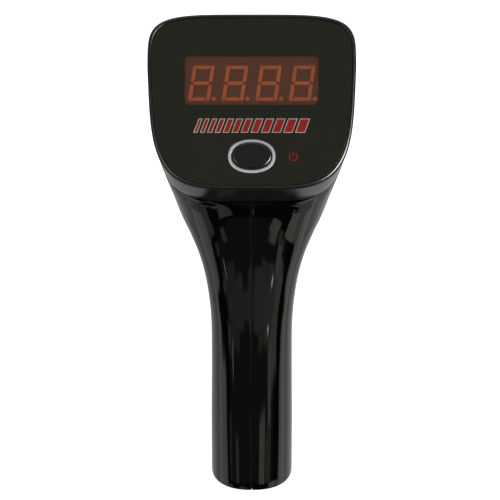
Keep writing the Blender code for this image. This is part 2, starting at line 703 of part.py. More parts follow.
for place in BEZEL_SCREW_PLACES:
    shank, head, high = BEZEL_SCREW
    seat = FLOOR_TOP + GAP + high + GAP
    run = ((head + GAP, -5), (head + GAP, seat), (shank + FIT, seat), (shank + FIT, BEZEL_DEPTH + 5))
    cut(bezel, turned("bezel_screw_hole", run, face_point(*place)))
for place in BOARD_SCREW_PLACES:
    pilot = BOARD_SCREW[0] + FIT
    cut(bezel, turned("board_pilot", ((pilot, BOARD_TOP - 6), (pilot, BOARD_TOP + 2)), face_point(*place)))
paint(bezel, (0.022, 0.022, 0.022), 0.3)

# Face panel, tinted window, button ring
panel = prism("face_panel", face_outline(RIM_WIDTH + FIT), PANEL_DROP, PANEL_BACK, FACE)
cut(
    panel,
    prism("panel_window", round_rect(WINDOW, WINDOW_CORNER + FIT, 2 * FIT), -5, 5, FACE),
    prism("panel_ring", oval(BUTTON_RING, 2 * FIT), -5, 5, FACE),
)
paint(panel, (0.03, 0.03, 0.026), 0.22)

window = prism("display_window", round_rect(WINDOW, WINDOW_CORNER), PANEL_DROP, FLOOR_TOP + SINK, FACE)
flange_outline = round_rect(flange, flange_corner - GAP)
join(window, prism("window_flange", flange_outline, FLOOR_TOP, FLOOR_TOP + FLANGE_THICK, FACE))
paint(window, (0.12, 0.04, 0.025), 0.08)

trim = prism("button_ring", oval(BUTTON_RING), PANEL_DROP - BUTTON_RING_RISE, PANEL_BACK, FACE)
cut(trim, prism("ring_hole", oval(BUTTON, 0.5), -5, 5, FACE))
paint(trim, (0.5, 0.52, 0.54), 0.35)

# Power button: a domed cap, a flange that keeps it in and a stem over the switch
cap_top = PANEL_DROP - BUTTON_RISE
flange_top = FLOOR_BACK + 0.4
switch_top = BOARD_TOP - GAP - SWITCH_HIGH
stem_end = switch_top - BUTTON_TRAVEL - GAP
flange_back = flange_top + BUTTON_FLANGE_THICK
levels = [(flange_back, 2 * BUTTON_FLANGE), (flange_top, 2 * BUTTON_FLANGE), (flange_top, 0)]
levels += [(cap_top + sink, -2 * inset) for sink, inset in rounded_edge(BUTTON_EDGE)]
levels.append((cap_top - BUTTON_CROWN, -BUTTON[1] / 2))
button = loft(
    "power_button",
    [[FACE @ Vector((*point, depth)) for point in oval(BUTTON, spread)] for depth, spread in levels],
)
button_axis = face_point(0, BUTTON_UP)
join(button, turned("button_stem", ((BUTTON_STEM, flange_top + SINK), (BUTTON_STEM, stem_end)), button_axis))
paint(button, (0.01, 0.01, 0.01), 0.15)

half = SWITCH_SIZE / 2
tact = box("button_switch", (-half, -half, switch_top), (half, half, BOARD_TOP - GAP), button_axis)
plunger_top = switch_top - BUTTON_TRAVEL
plunger_end = plunger_top + PLUNGER_LONG
bore = PLUNGER_RADIUS + FIT
bore_end = plunger_end + BUTTON_TRAVEL + FIT
cut(tact, turned("switch_bore", ((bore, plunger_top - 1), (bore, bore_end)), button_axis))
paint(tact, CASE_BLACK)
plunger = ((PLUNGER_RADIUS, plunger_top), (PLUNGER_RADIUS, plunger_end))
paint(turned("button_plunger", plunger, button_axis), PLUNGER_RED)

# Main board with its soldered parts, behind the display
shoulder = BOARD_FOOT + 7.4
board_half_outline = [
    (BOARD_NECK_HALF, BOARD_FOOT), (BOARD_NECK_HALF, shoulder), (BOARD_HALF, shoulder + 3.6),
    (BOARD_HALF, BOARD_TOP_EDGE),
]
board_outline = board_half_outline + [(-x, up) for x, up in reversed(board_half_outline)]
board = prism("main_board", board_outline, BOARD_TOP, BOARD_BACK, FACE)
for low, high, thick in BOARD_PARTS:
    join(board, box("board_part", (*low, BOARD_BACK - SINK), (*high, BOARD_BACK + thick), FACE))
can_radius, can_high = BOARD_CAN
can = ((can_radius, BOARD_BACK - SINK), (can_radius, BOARD_BACK + can_high))
join(board, turned("board_can", can, face_point(*BOARD_CAN_AT), INNER_COUNT))
for place in BOARD_SCREW_PLACES:
    room = BOARD_SCREW[0] + FIT
    cut(board, turned("board_hole", ((room, BOARD_TOP - 3), (room, BOARD_BACK + 3)), face_point(*place)))
paint(board, (0.02, 0.16, 0.06))


# Display module: a black case with a window for each bar, over one block of cast resin
def flipped(shape, wide=None, high=None):
    """The outline mirrored across the middle of this width or height, still anticlockwise."""
    return [(wide - x if wide else x, high - y if high else y) for x, y in reversed(shape)]


def digit_outlines():
    """The seven bars of one digit and its point, anticlockwise, about the digit's centre."""
    w, h, t, g = *DIGIT, SEGMENT, SEGMENT_GAP
    mid, corner, point, notch = h / 2, 0.55, 0.45, 0.25
    top = [(t + g, h - t), (w - t - g, h - t), (w - t - g, h), (t + g, h)]
    bar = [
        (t / 2 + g, mid), (t + g / 2, mid - t / 2), (w - t - g / 2, mid - t / 2),
        (w - t / 2 - g, mid), (w - t - g / 2, mid + t / 2), (t + g / 2, mid + t / 2),
    ]
    post = [
        (0, mid + g + point), (t / 2 - notch, mid + g), (t, mid + t / 2 + g),
        (t, h), (corner, h), (0, h - corner),
    ]
    low_post = flipped(post, high=h)
    shapes = [top, flipped(top, high=h), bar, post, flipped(post, w), low_post, flipped(low_post, w)]
    turns = [2 * math.pi * i / TURN_COUNT for i in range(TURN_COUNT)]
    dot = [(math.cos(a) * DOT_RADIUS, math.sin(a) * DOT_RADIUS) for a in turns]
    shapes.append([(w + DOT_RIGHT + x, DOT_RADIUS + y) for x, y in dot])
    lean = math.tan(DIGIT_SLANT)
    return [[(x - w / 2 + (y - mid) * lean, y - mid) for x, y in shape] for shape in shapes]


def digit_bars(name, grow, low, high):
    bm = bmesh.new()
    for digit in range(4):
        right = (digit - 1.5) * DIGIT_PITCH
        for shape in digit_outlines():
            extrude(bm, [(x + right, y + WINDOW_UP - 0.1) for x, y in grown(shape, grow)], low, high)
    bm.transform(FACE)
    return solid(name, bm)


module_low = Vector((-MODULE[0] / 2, WINDOW_UP - MODULE[1] / 2, MODULE_TOP))
module_high = Vector((MODULE[0] / 2, WINDOW_UP + MODULE[1] / 2, MODULE_TOP + MODULE[2]))
case = box("display_housing", module_low, module_high, FACE)
wall = Vector((MODULE_WALL, MODULE_WALL, 0))
pot_low = module_low + wall + Vector((0, 0, MODULE_WALL))
pot_high = module_high - wall
cut(case, box("pot_room", pot_low, pot_high + Vector((0, 0, 1)), FACE))
cut(case, digit_bars("bar_holes", SEGMENT_ROOM, -1, MODULE_TOP + 3))
paint(case, (0.03, 0.02, 0.018))
room = Vector((GAP, GAP, GAP))
pot = box("display_segments", pot_low + room, pot_high - room, FACE)
join(pot, digit_bars("bars", 0.0, MODULE_TOP + 0.1, pot_low.z + GAP + SINK))
paint(pot, (0.45, 0.12, 0.04))

# Radar: horn with its waveguide flange, and the transceiver block on it
flange_front = HORN_FLANGE_Y + HORN_FLANGE_THICK
horn_profile = (
    (HORN_THROAT, HORN_FLANGE_Y), (HORN_THROAT + HORN_FLANGE, HORN_FLANGE_Y),
    (HORN_THROAT + HORN_FLANGE, flange_front), (HORN_THROAT + HORN_WALL, flange_front),
    (HORN_THROAT + HORN_WALL, HORN_THROAT_Y), (HORN_MOUTH + HORN_WALL, HORN_MOUTH_Y),
    (HORN_MOUTH, HORN_MOUTH_Y), (HORN_THROAT, HORN_THROAT_Y),
)
paint(turned("horn_antenna", horn_profile, BEAM, WIDE_TURN_COUNT, True), STEEL, 0.35, 1)
block_half, _, block_high = (side / 2 for side in TRANSCEIVER)
block_front = HORN_FLANGE_Y - GAP
block_back = block_front - TRANSCEIVER[1]
block_low = (-block_half, block_back, HORN_Z - block_high)
radio = box("radar_transceiver", block_low, (block_half, block_front, HORN_Z + block_high))
paint(radio, (0.5, 0.5, 0.48), 0.4, 1)

# Cells, contacts and the battery door
for name, foot in (("battery_lower", 0.0), ("battery_upper", CELL_LONG + CELL_NUB[1] + GAP)):
    crown = foot + CELL_LONG
    profile = (
        (CELL_RADIUS - CELL_EDGE, foot), (CELL_RADIUS, foot + CELL_EDGE), (CELL_RADIUS, crown - CELL_EDGE),
        (CELL_RADIUS - CELL_EDGE, crown), (CELL_NUB[0], crown), (CELL_NUB[0], crown + CELL_NUB[1]),
    )
    paint(turned(name, profile, CELL, WIDE_TURN_COUNT), (0.55, 0.42, 0.2), 0.3)
upper_low, upper_high = UPPER_CONTACT
upper = box("upper_contact", (*upper_low, contact_low), (*upper_high, contact_low + CONTACT_THICK), CELL)
paint(upper, NICKEL, 0.3, 1)
paint(box("negative_contact", *EARTH_CONTACT), NICKEL, 0.3, 1)

door_outline = [(p.x, p.y) for p in ring(base_section(0), WALL + FIT + GAP)]
door = prism("battery_door", door_outline, 0, DOOR_THICK)
slope_end = DOOR_PLATE_END - DOOR_END_SLOPE
door_end = [
    (DOOR_PLATE_END, -BEYOND), (BEYOND, -BEYOND), (BEYOND, BEYOND), (slope_end, BEYOND),
    (slope_end, DOOR_THICK), (DOOR_PLATE_END, 0.0),
]
cut(door, prism("door_end", door_end, -BEYOND, BEYOND, SIDE))
neck_high = (KNUCKLE_HALF, DOOR_PIN[0], DOOR_THICK - 0.1)
knuckle = ((KNUCKLE_RADIUS, -KNUCKLE_HALF), (KNUCKLE_RADIUS, KNUCKLE_HALF))
snap_low, snap_high = DOOR_SNAP
join(
    door,
    box("door_neck", (-KNUCKLE_HALF, DOOR_PLATE_END - 3, 0.2), neck_high),
    turned("door_knuckle", knuckle, across(*DOOR_PIN)),
    box("door_snap", (-DOOR_SNAP_HALF, *snap_low), (DOOR_SNAP_HALF, *snap_high)),
)
cut(door, pin_hole("door_pin_bore", DOOR_PIN_RADIUS, KNUCKLE_HALF + 5, DOOR_PIN))
paint(door, NYLON_BLACK, 0.3)
hinge_pin = ((DOOR_PIN_RADIUS, -door_pin_half), (DOOR_PIN_RADIUS, door_pin_half))
paint(turned("door_pin", hinge_pin, across(*DOOR_PIN)), STEEL, 0.3, 1)
plate_low = DOOR_THICK + GAP
plate_top = plate_low + CONTACT_THICK
under_cell = Matrix.Translation((0, CELL_FOOT[0], 0))
plate_run = ((DOOR_CONTACT_RADIUS, plate_low), (DOOR_CONTACT_RADIUS, plate_top))
paint(turned("door_contact", plate_run, under_cell, WIDE_TURN_COUNT), NICKEL, 0.3, 1)
coil_span = (plate_top + GAP + BATTERY_WIRE, CELL_FOOT[1] - GAP - BATTERY_WIRE - LEAN_DIP)
cone = spring("battery_spring", BATTERY_TURNS, coil_span, BATTERY_SPRING, BATTERY_WIRE, under_cell)
paint(cone, NICKEL, 0.3, 1)

# Trigger: one lever on a cross pin, its return spring and its switch
pin_y, pin_z = TRIGGER_PIN
switch_y, switch_z = TRIGGER_SWITCH_AT
switch_half, switch_deep, switch_high = (side / 2 for side in TRIGGER_SWITCH)
switch_front = switch_y + switch_deep
press_front = switch_front + PRESS_OUT
lever_low, lever_top = (pin_z + height for height in LEVER_HEIGHTS)
nub_low, nub_top = (pin_z + height for height in NUB_HEIGHTS)
blade = [(pin_y + y, pin_z + z) for y, z in TRIGGER_BLADE]
trigger = prism("trigger", blade, -TRIGGER_HALF, TRIGGER_HALF, SIDE)
hub = ((HUB_RADIUS, -TRIGGER_HALF), (HUB_RADIUS, TRIGGER_HALF))
lever_rear = SPRING_Y - LEVER_HALF
join(
    trigger,
    turned("trigger_hub", hub, across(*TRIGGER_PIN)),
    box("trigger_nub", (-NUB_HALF, press_front + GAP, nub_low), (NUB_HALF, pin_y - 2.0, nub_top)),
    box("trigger_lever", (-LEVER_HALF, lever_rear, lever_low), (LEVER_HALF, pin_y + 1.0, lever_top)),
    box("trigger_riser", (-LEVER_HALF, pin_y - 2.2, pin_z + 1.0), (LEVER_HALF, pin_y + 1.0, lever_top - 1.0)),
)
cut(trigger, pin_hole("trigger_bore", TRIGGER_PIN_RADIUS, TRIGGER_HALF + 5, TRIGGER_PIN))
paint(trigger, NYLON_BLACK, 0.3)
cross_pin = ((TRIGGER_PIN_RADIUS, -trigger_pin_half), (TRIGGER_PIN_RADIUS, trigger_pin_half))
paint(turned("trigger_pin", cross_pin, across(*TRIGGER_PIN)), STEEL, 0.3, 1)
coil_span = (lever_top + GAP + TRIGGER_WIRE, SPRING_SEAT - GAP - TRIGGER_WIRE)
over_lever = Matrix.Translation((0, SPRING_Y, 0))
helix = spring("trigger_spring", TRIGGER_TURNS, coil_span, TRIGGER_SPRING, TRIGGER_WIRE, over_lever)
paint(helix, STEEL, 0.3, 1)
micro = box(
    "trigger_switch",
    (-switch_half, switch_y - switch_deep, switch_z - switch_high),
    (switch_half, switch_front, switch_z + switch_high),
)
press_half, press_long, press_high = PRESS[0] / 2, PRESS[1], PRESS[2] / 2
press_back = press_front - press_long
room_low = (-press_half - GAP, press_back - PRESS_OUT, PRESS_Z - press_high - GAP)
cut(micro, box("press_room", room_low, (press_half + GAP, press_front, PRESS_Z + press_high + GAP)))
paint(micro, CASE_BLACK)
press_low = (-press_half, press_back, PRESS_Z - press_high)
paint(box("trigger_plunger", press_low, (press_half, press_front, PRESS_Z + press_high)), PLUNGER_RED)


# Fasteners
def screw(name, sizes, seat, point, frame):
    """A screw whose head stands on the seat, and whose shank runs to the point."""
    shank, head, high = sizes
    top = seat - math.copysign(high, point - seat)
    paint(turned(name, ((head, top), (head, seat), (shank, seat), (shank, point)), frame), DARK_STEEL, 0.35, 1)


for i, place in enumerate(SHELL_SCREW_PLACES, 1):
    screw(f"shell_screw_{i}", SHELL_SCREW, -SHELL_SCREW_SEAT - GAP, SHELL_SCREW_END, across(*place))
for i, place in enumerate(BEZEL_SCREW_PLACES, 1):
    seat = FLOOR_TOP + GAP + BEZEL_SCREW[2]
    screw(f"bezel_screw_{i}", BEZEL_SCREW, seat, bezel_screw_end, face_point(*place))
for i, place in enumerate(BOARD_SCREW_PLACES, 1):
    screw(f"board_screw_{i}", BOARD_SCREW, BOARD_BACK + GAP, BOARD_TOP - 5, face_point(*place))


# Leads between the cells, the switch, the radio and the board
def lead(name, route, colour):
    paint(tube(name, route, LEAD_RADIUS), colour)


def board_point(x, up):
    return FACE @ Vector((x, up, BOARD_BACK + GAP + LEAD_RADIUS))


beside = GAP + LEAD_RADIUS
contact_edge = CELL @ Vector((4.0, contact_front + beside, contact_low + CONTACT_THICK / 2))
lead(
    "positive_lead",
    [contact_edge, (4, 16.5, NECK - 0.4), (4, 13.5, NECK + 3.1), (4, 4, NECK + 4.6), board_point(5, 9.5)],
    (0.5, 0.02, 0.02),
)
lead(
    "negative_lead",
    [
        (8.2, -14.6, 12.6), (8.2, -14.3, 24), (8.2, -12.2, 45), (8.2, -9.75, NECK - 39.9),
        (9.5, -7.9, NECK - 31.9), (11, -5.8, NECK - 21.9), (11.5, -5.0, NECK - 11.9),
        (11.5, -5.2, NECK - 2.9), (11, -5.6, NECK + 3.1), board_point(11, 9.5),
    ],
    (0.02, 0.02, 0.02),
)
lead(
    "trigger_lead",
    [
        (-switch_half - beside, switch_y - 1.5, switch_z), (-7.5, 19.5, NECK - 12.9), (-10, 17.8, NECK - 5.9),
        (-10, 16.6, NECK + 1.7), (-9.6, 12.4, NECK + 4.3), (-9, 4.5, NECK + 5.0), board_point(-7, 9.5),
    ],
    (0.3, 0.3, 0.02),
)
lead(
    "radar_lead",
    [(0, block_back - beside, HORN_Z + 2), (0, block_back - 3.4, HORN_Z + 4.5), board_point(0, 24)],
    (0.3, 0.3, 0.3),
)


# Moving pieces hang on an empty that stands on their joint
def on_joint(name, at, *pieces):
    joint = bpy.data.objects.new(name, None)
    joint.location = Vector(at) * MM
    parts.objects.link(joint)
    for piece in pieces:
        bpy.data.objects[piece].parent = joint
        bpy.data.objects[piece].matrix_parent_inverse = Matrix.Translation(-joint.location)


on_joint("power_button_slide", button_axis.translation, "power_button", "button_plunger")
on_joint("trigger_pivot", (0, *TRIGGER_PIN), "trigger", "trigger_spring")
on_joint("trigger_plunger_slide", (0, switch_front, PRESS_Z), "trigger_plunger")
on_joint("battery_door_hinge", (0, *DOOR_PIN), "battery_door", "door_contact", "battery_spring")
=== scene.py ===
import math

import bmesh
import bpy
import numpy as np
from mathutils import Matrix, Vector
from mathutils.bvhtree import BVHTree


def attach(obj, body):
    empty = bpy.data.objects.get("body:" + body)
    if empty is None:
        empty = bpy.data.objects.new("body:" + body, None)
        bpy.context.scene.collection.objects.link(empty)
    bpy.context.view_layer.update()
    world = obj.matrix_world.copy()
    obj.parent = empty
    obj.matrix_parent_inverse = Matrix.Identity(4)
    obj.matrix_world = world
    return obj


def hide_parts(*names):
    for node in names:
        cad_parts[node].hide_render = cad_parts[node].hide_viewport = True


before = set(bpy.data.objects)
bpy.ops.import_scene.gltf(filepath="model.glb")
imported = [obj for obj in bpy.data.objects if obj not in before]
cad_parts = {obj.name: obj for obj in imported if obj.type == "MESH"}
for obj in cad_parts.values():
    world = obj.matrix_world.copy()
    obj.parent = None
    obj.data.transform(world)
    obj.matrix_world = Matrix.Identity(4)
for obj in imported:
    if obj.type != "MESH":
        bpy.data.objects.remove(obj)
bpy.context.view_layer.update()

# The studio: a pale sweep under the gun and a white wall behind it, with a dim olive room behind the
# camera. The black plastic mirrors that room: white from the sides, olive above, nearly black below.
# The camera stands where the photograph was taken from, a little above the gun and 0.74 m away.
scene = bpy.context.scene
scene.view_settings.view_transform = "Standard"
scene.view_settings.look = "None"

CAMERA_AT = (0, -0.6698, 0.3095)
CAMERA_DOWN = math.radians(18.04)
FOCAL_MM = 132.4
SHIFT_RIGHT = -0.0036
camera = bpy.data.objects.new("camera", bpy.data.cameras.new("camera"))
camera.location = CAMERA_AT
camera.rotation_euler = (math.pi / 2 - CAMERA_DOWN, 0, 0)
camera.data.lens = FOCAL_MM
camera.data.shift_x = SHIFT_RIGHT
scene.collection.objects.link(camera)
scene.camera = camera

WHITE = (1.0, 1.0, 1.0)
CREAM = (1.0, 0.99, 0.88)
WARM = (1.0, 0.97, 0.92)
GREY_GREEN = (0.98, 1.0, 0.85)
COOL = (0.98, 1.0, 1.0)
UNLIT = (0.010, 0.010, 0.012)
# What the gloss mirrors: two bearings in degrees to the right of the camera, two heights in degrees
# above the gun, a brightness and a tint. A later area covers an earlier one.
ROOM_AREAS = (
    ((-210, -62), (-3, 64), 0.20, GREY_GREEN),
    ((58, 210), (-3, 64), 0.20, GREY_GREEN),
    ((-62, 62), (5, 64), 0.27, GREY_GREEN),
    ((-62, 62), (-23, -2), 0.07, COOL),
    ((-58, -26), (-9, -2), 0.24, GREY_GREEN),
    ((-56, 4), (-3, 7), 0.30, GREY_GREEN),
    ((4, 30), (-3.4, 7), 0.36, GREY_GREEN),
    ((12, 30), (-7, -2), 0.30, GREY_GREEN),
    ((28, 56), (-8, 7), 0.38, GREY_GREEN),
    ((-12, -3), (-8, 1), 0.07, COOL),
    ((50, 72), (-14, -4), 0.58, CREAM),
    ((38, 52), (-17, -8), 0.70, CREAM),
    ((34, 52), (-22, -17), 0.33, CREAM),
    ((15, 31), (-25, -15), 0.75, CREAM),
    ((-66, -57), (-11, -7), 0.42, CREAM),
    ((-64, -56), (-23, -17), 0.24, CREAM),
    ((-41, -31), (-24, -18), 0.42, CREAM),
    ((-210, -74), (-57, -30), 0.40, WHITE),
    ((-210, -74), (-30, -16), 0.42, WHITE),
    ((86, 210), (-64, -30), 0.48, WHITE),
    ((86, 210), (-30, -16), 0.52, WHITE),
    ((-114, -78), (-42, -15), 0.80, WARM),
    ((90, 114), (-42, -15), 0.95, WARM),
    ((-74, -56), (-62, -28), 0.40, CREAM),
    ((58, 86), (-66, -24), 0.60, CREAM),
    ((46, 71), (-41, -24), 0.92, CREAM),
    ((-31, -11), (-64, -28), 0.50, CREAM),
    ((-50, -28), (-68, -47), 0.50, CREAM),
    ((-210, 210), (64, 91), 0.85, COOL),
    ((-150, -100), (22, 50), 1.8, COOL),
    ((100, 150), (22, 50), 1.8, COOL),
    ((-210, -160), (8, 46), 1.2, COOL),
    ((160, 210), (8, 46), 1.2, COOL),
    ((20, 56), (8, 34), 26.0, COOL),
    ((-46, -17), (15, 37), 3.6, COOL),
    ((36, 38.5), (-6, -4), 7.0, WHITE),
    ((-50, -48), (-12, -8), 3.0, WHITE),
)
AREA_EDGE = 1.2
BEARING_RAGGED, HEIGHT_RAGGED = 9.0, 5.0
BEARING_SEED, HEIGHT_SEED = 0.0, 5.0
CLUTTER_SCALE, CLUTTER_DETAIL = 4.0, 4.0

world = bpy.data.worlds.new("studio")
world.use_nodes = True
scene.world = world
room, room_links = world.node_tree.nodes, world.node_tree.links


def room_sum(operation, *values):
    node = room.new("ShaderNodeMath")
    node.operation = operation
    for socket, value in zip(node.inputs, values):
        if isinstance(value, (int, float)):
            socket.default_value = value
        else:
            room_links.new(value, socket)
    return node.outputs[0]


def ragged(value, seed, reach):
    """The angle, with its lines broken up as the things standing about a room break them."""
    shift = room.new("ShaderNodeVectorMath")
    shift.operation = "ADD"
    shift.inputs[1].default_value = (seed, seed, seed)
    room_links.new(direction.outputs["Generated"], shift.inputs[0])
    clutter = room.new("ShaderNodeTexNoise")
    clutter.inputs["Scale"].default_value = CLUTTER_SCALE
    clutter.inputs["Detail"].default_value = CLUTTER_DETAIL
    room_links.new(shift.outputs[0], clutter.inputs["Vector"])
    swing = room_sum("MULTIPLY_ADD", clutter.outputs["Fac"], reach, -reach / 2)
    return room_sum("ADD", value, swing)


def step_over(value, start, end):
    step = room.new("ShaderNodeMapRange")
    step.interpolation_type = "SMOOTHSTEP"
    step.inputs["From Min"].default_value = start
    step.inputs["From Max"].default_value = end
    room_links.new(value, step.inputs["Value"])
    return step.outputs[0]


def between(value, limits):
    low, high = limits
    rise = step_over(value, low - AREA_EDGE, low + AREA_EDGE)
    return room_sum("MULTIPLY", rise, step_over(value, high + AREA_EDGE, high - AREA_EDGE))


direction = room.new("ShaderNodeTexCoord")
split = room.new("ShaderNodeSeparateXYZ")
room_links.new(direction.outputs["Generated"], split.inputs[0])
degrees = 180 / math.pi
toward_camera = room_sum("MULTIPLY", split.outputs["Y"], -1)
bearing = room_sum("MULTIPLY", room_sum("ARCTAN2", split.outputs["X"], toward_camera), degrees)
height = room_sum("MULTIPLY", room_sum("ARCSINE", split.outputs["Z"]), degrees)
bearing = ragged(bearing, BEARING_SEED, BEARING_RAGGED)
height = ragged(height, HEIGHT_SEED, HEIGHT_RAGGED)
mirror_light = room["Background"]
reflection = None
for bearings, heights, brightness, tint in ROOM_AREAS:
    area = room.new("ShaderNodeMix")
    area.data_type = "RGBA"
    share, under, over = area.inputs[0], area.inputs[6], area.inputs[7]
    inside = room_sum("MULTIPLY", between(bearing, bearings), between(height, heights))
    room_links.new(inside, share)
    under.default_value = (*UNLIT, 1)
    if reflection:
        room_links.new(reflection, under)
    over.default_value = (*(brightness * channel for channel in tint), 1)
    reflection = area.outputs[2]
room_links.new(reflection, mirror_light.inputs["Color"])
white_light = room.new("ShaderNodeBackground")
white_light.inputs["Color"].default_value = (*WHITE, 1)
seen = room.new("ShaderNodeLightPath")
either = room.new("ShaderNodeMixShader")
room_links.new(seen.outputs["Is Camera Ray"], either.inputs[0])
room_links.new(mirror_light.outputs[0], either.inputs[1])
room_links.new(white_light.outputs[0], either.inputs[2])
room_links.new(either.outputs[0], room["World Output"].inputs["Surface"])
# The room shows in the gloss only: the softboxes light the gun
world.cycles_visibility.diffuse = False

# Softboxes: place, size and watts. They don't show in the gloss, which mirrors the room instead.
SOFTBOXES = (
    ("front_softbox", (-0.15, -1.1, 1.0), (0.9, 0.7), 7),
    ("top_softbox", (0.1, 0.5, 1.5), (1.4, 1.2), 8),
)
SOFTBOX_AIM = Vector((0, 0.01, 0.11))
for name, place, size, watts in SOFTBOXES:
    light = bpy.data.lights.new(name, "AREA")
    light.shape = "RECTANGLE"
    light.size, light.size_y = size
    light.energy = watts
    softbox = bpy.data.objects.new(name, light)
    softbox.location = place
    softbox.rotation_euler = (SOFTBOX_AIM - Vector(place)).to_track_quat("-Z", "Y").to_euler()
    softbox.visible_glossy = False
    scene.collection.objects.link(softbox)

FLOOR_HALF = 3.0
PAPER = (0.9, 0.9, 0.9)
PAPER_ROUGH, PAPER_GLOW = 0.9, 1.0
sweep_mesh = bmesh.new()
bmesh.ops.create_grid(sweep_mesh, x_segments=1, y_segments=1, size=FLOOR_HALF)
floor_mesh = bpy.data.meshes.new("sweep")
sweep_mesh.to_mesh(floor_mesh)
sweep_mesh.free()
sweep = bpy.data.objects.new("sweep", floor_mesh)
scene.collection.objects.link(sweep)
sweep.visible_glossy = False
paper = bpy.data.materials.new("sweep_paper")
paper.use_nodes = True
paper_shader = paper.node_tree.nodes["Principled BSDF"]
paper_shader.inputs["Base Color"].default_value = (*PAPER, 1)
paper_shader.inputs["Roughness"].default_value = PAPER_ROUGH
paper_shader.inputs["Emission Color"].default_value = (*WHITE, 1)
paper_shader.inputs["Emission Strength"].default_value = PAPER_GLOW
floor_mesh.materials.append(paper)

# Housing halves: two glossy black ABS mouldings with a wall of about 2 mm, parted down the middle and
# screwed together from the left. One skin runs from the seam under the face, round the neck and down
# the grip to a small radius at the base; the front is open for the trigger and the base for the door.
MM = 0.001
WALL = 2.1
GAP = 0.3
PARTING = 0.3
GROOVE = 1.3
NECK = 109.9
FACE_TILT = math.radians(30)
FACE_HEIGHT = 67.4
FACE_HALF_WIDTH = 38.8
FACE_SHAPE = (0.70, 4.2, 4.6, 0.06)
RIM_FOOT = Vector((0, -24.5, NECK + 12.7))
RIM_RADIUS = 1.0
BEZEL_DEPTH = 15.2
BEZEL_DRAFT = 1.1
SEAM_HALF_WIDTH = 37.7
BASE_RADIUS = 1.2
BASE_STEPS = 6
BASE_LEDGE = WALL + 0.2
RADOME_Y = 56.0
# Stations down the housing: rear y and z, front y and z, half width, where it is widest, the
# roundness of its rear and of its front, and how far its rear narrows
HEAD_SECTIONS = (
    (-10.8, 1.4, 43.2, 47.1, 36.5, 0.66, 2.9, 4.0, 0),
    (-10.4, -2.0, 62.8, 33.3, 35.6, 0.60, 2.7, 3.6, 0),
    (-10.4, -5.9, 66.7, 13.7, 32.0, 0.55, 2.6, 3.2, 0),
    (-10.6, -9.9, 60.8, -3.9, 28.4, 0.52, 2.5, 2.9, 0),
    (-10.9, -14.7, 43.2, -14.7, 24.1, 0.50, 2.4, 2.6, 0),
    (-11.6, -21.6, 30.4, -23.6, 20.3, 0.50, 2.4, 2.5, 0),
    (-13.2, -31.4, 25.5, -33.4, 17.6, 0.50, 2.4, 2.5, 0),
    (-16.0, -45.2, 23.1, -46.1, 15.9, 0.50, 2.4, 2.5, 0),
)
GRIP_SECTIONS = (
    (-18.2, 47.1, 22.1, 47.1, 15.7, 0.50, 2.4, 2.5, 0),
    (-20.1, 24.5, 21.6, 24.5, 15.9, 0.50, 2.4, 2.5, 0),
    (-21.2, 1.2, 21.6, 1.2, 15.9, 0.50, 2.35, 2.6, 0),
)
ROUND_COUNT = 144
SPAN_STEPS = 9
FINE_STEPS = 20
UP = Vector((0, math.sin(FACE_TILT), math.cos(FACE_TILT)))
INTO = Vector((0, math.cos(FACE_TILT), -math.sin(FACE_TILT)))


def rim_section(depth):
    """Section of the head's outside at this depth behind the crest of the rim."""
    share = max(depth - RIM_RADIUS, 0) / (BEZEL_DEPTH - RIM_RADIUS)
    rear = RIM_FOOT + INTO * depth - UP * BEZEL_DRAFT * share
    front = RIM_FOOT + UP * FACE_HEIGHT + INTO * depth + UP * BEZEL_DRAFT * share
    half = FACE_HALF_WIDTH + (SEAM_HALF_WIDTH - FACE_HALF_WIDTH) * share
    return (rear.y, rear.z, front.y, front.z, half, *FACE_SHAPE)


def ring(section, inset=0.0, count=ROUND_COUNT):
    """Points spaced evenly round a section, starting at the middle of its rear."""
    rear, front = Vector(section[:2]), Vector(section[2:4])
    along = (front - rear).normalized()
    rear, front = rear + along * inset, front - along * inset
    half, widest, low, high, narrowing = section[4] - inset, *section[5:]
    turn = np.linspace(0, 2 * math.pi, FINE_STEPS * count + 1)
    c, s = np.cos(turn), np.sin(turn)
    power = np.where(c > 0, low, high)
    reach = np.abs(c) ** (2 / power)
    x = half * np.sign(s) * np.abs(s) ** (2 / power) * (1 - narrowing * reach * (c > 0))
    share = np.where(c > 0, widest - widest * reach, widest + (1 - widest) * reach)
    y = rear.x + (front.x - rear.x) * share
    z = rear.y + (front.y - rear.y) * share
    steps = np.sqrt(np.diff(x) ** 2 + np.diff(y) ** 2 + np.diff(z) ** 2)
    run = np.concatenate(([0], np.cumsum(steps)))
    even = np.linspace(0, run[-1], count, endpoint=False)
    return [Vector(p) for p in zip(*(np.interp(even, run, values) for values in (x, y, z)))]


def shifted(section, depth):
    rear_y, rear_z, front_y, front_z, *form = section
    step = INTO * depth
    return (rear_y + step.y, rear_z + step.z, front_y + step.y, front_z + step.z, *form)


def base_section(z):
    last = GRIP_SECTIONS[-1]
    return (last[0], z, last[2], z, *last[4:])


def quarter_turn(radius, steps):
    """How far in and how far down a rounded edge is, step by step."""
    turns = [step / steps * math.pi / 2 for step in range(steps + 1)]
    return [(radius * (1 - math.cos(a)), radius * (1 - math.sin(a))) for a in turns]


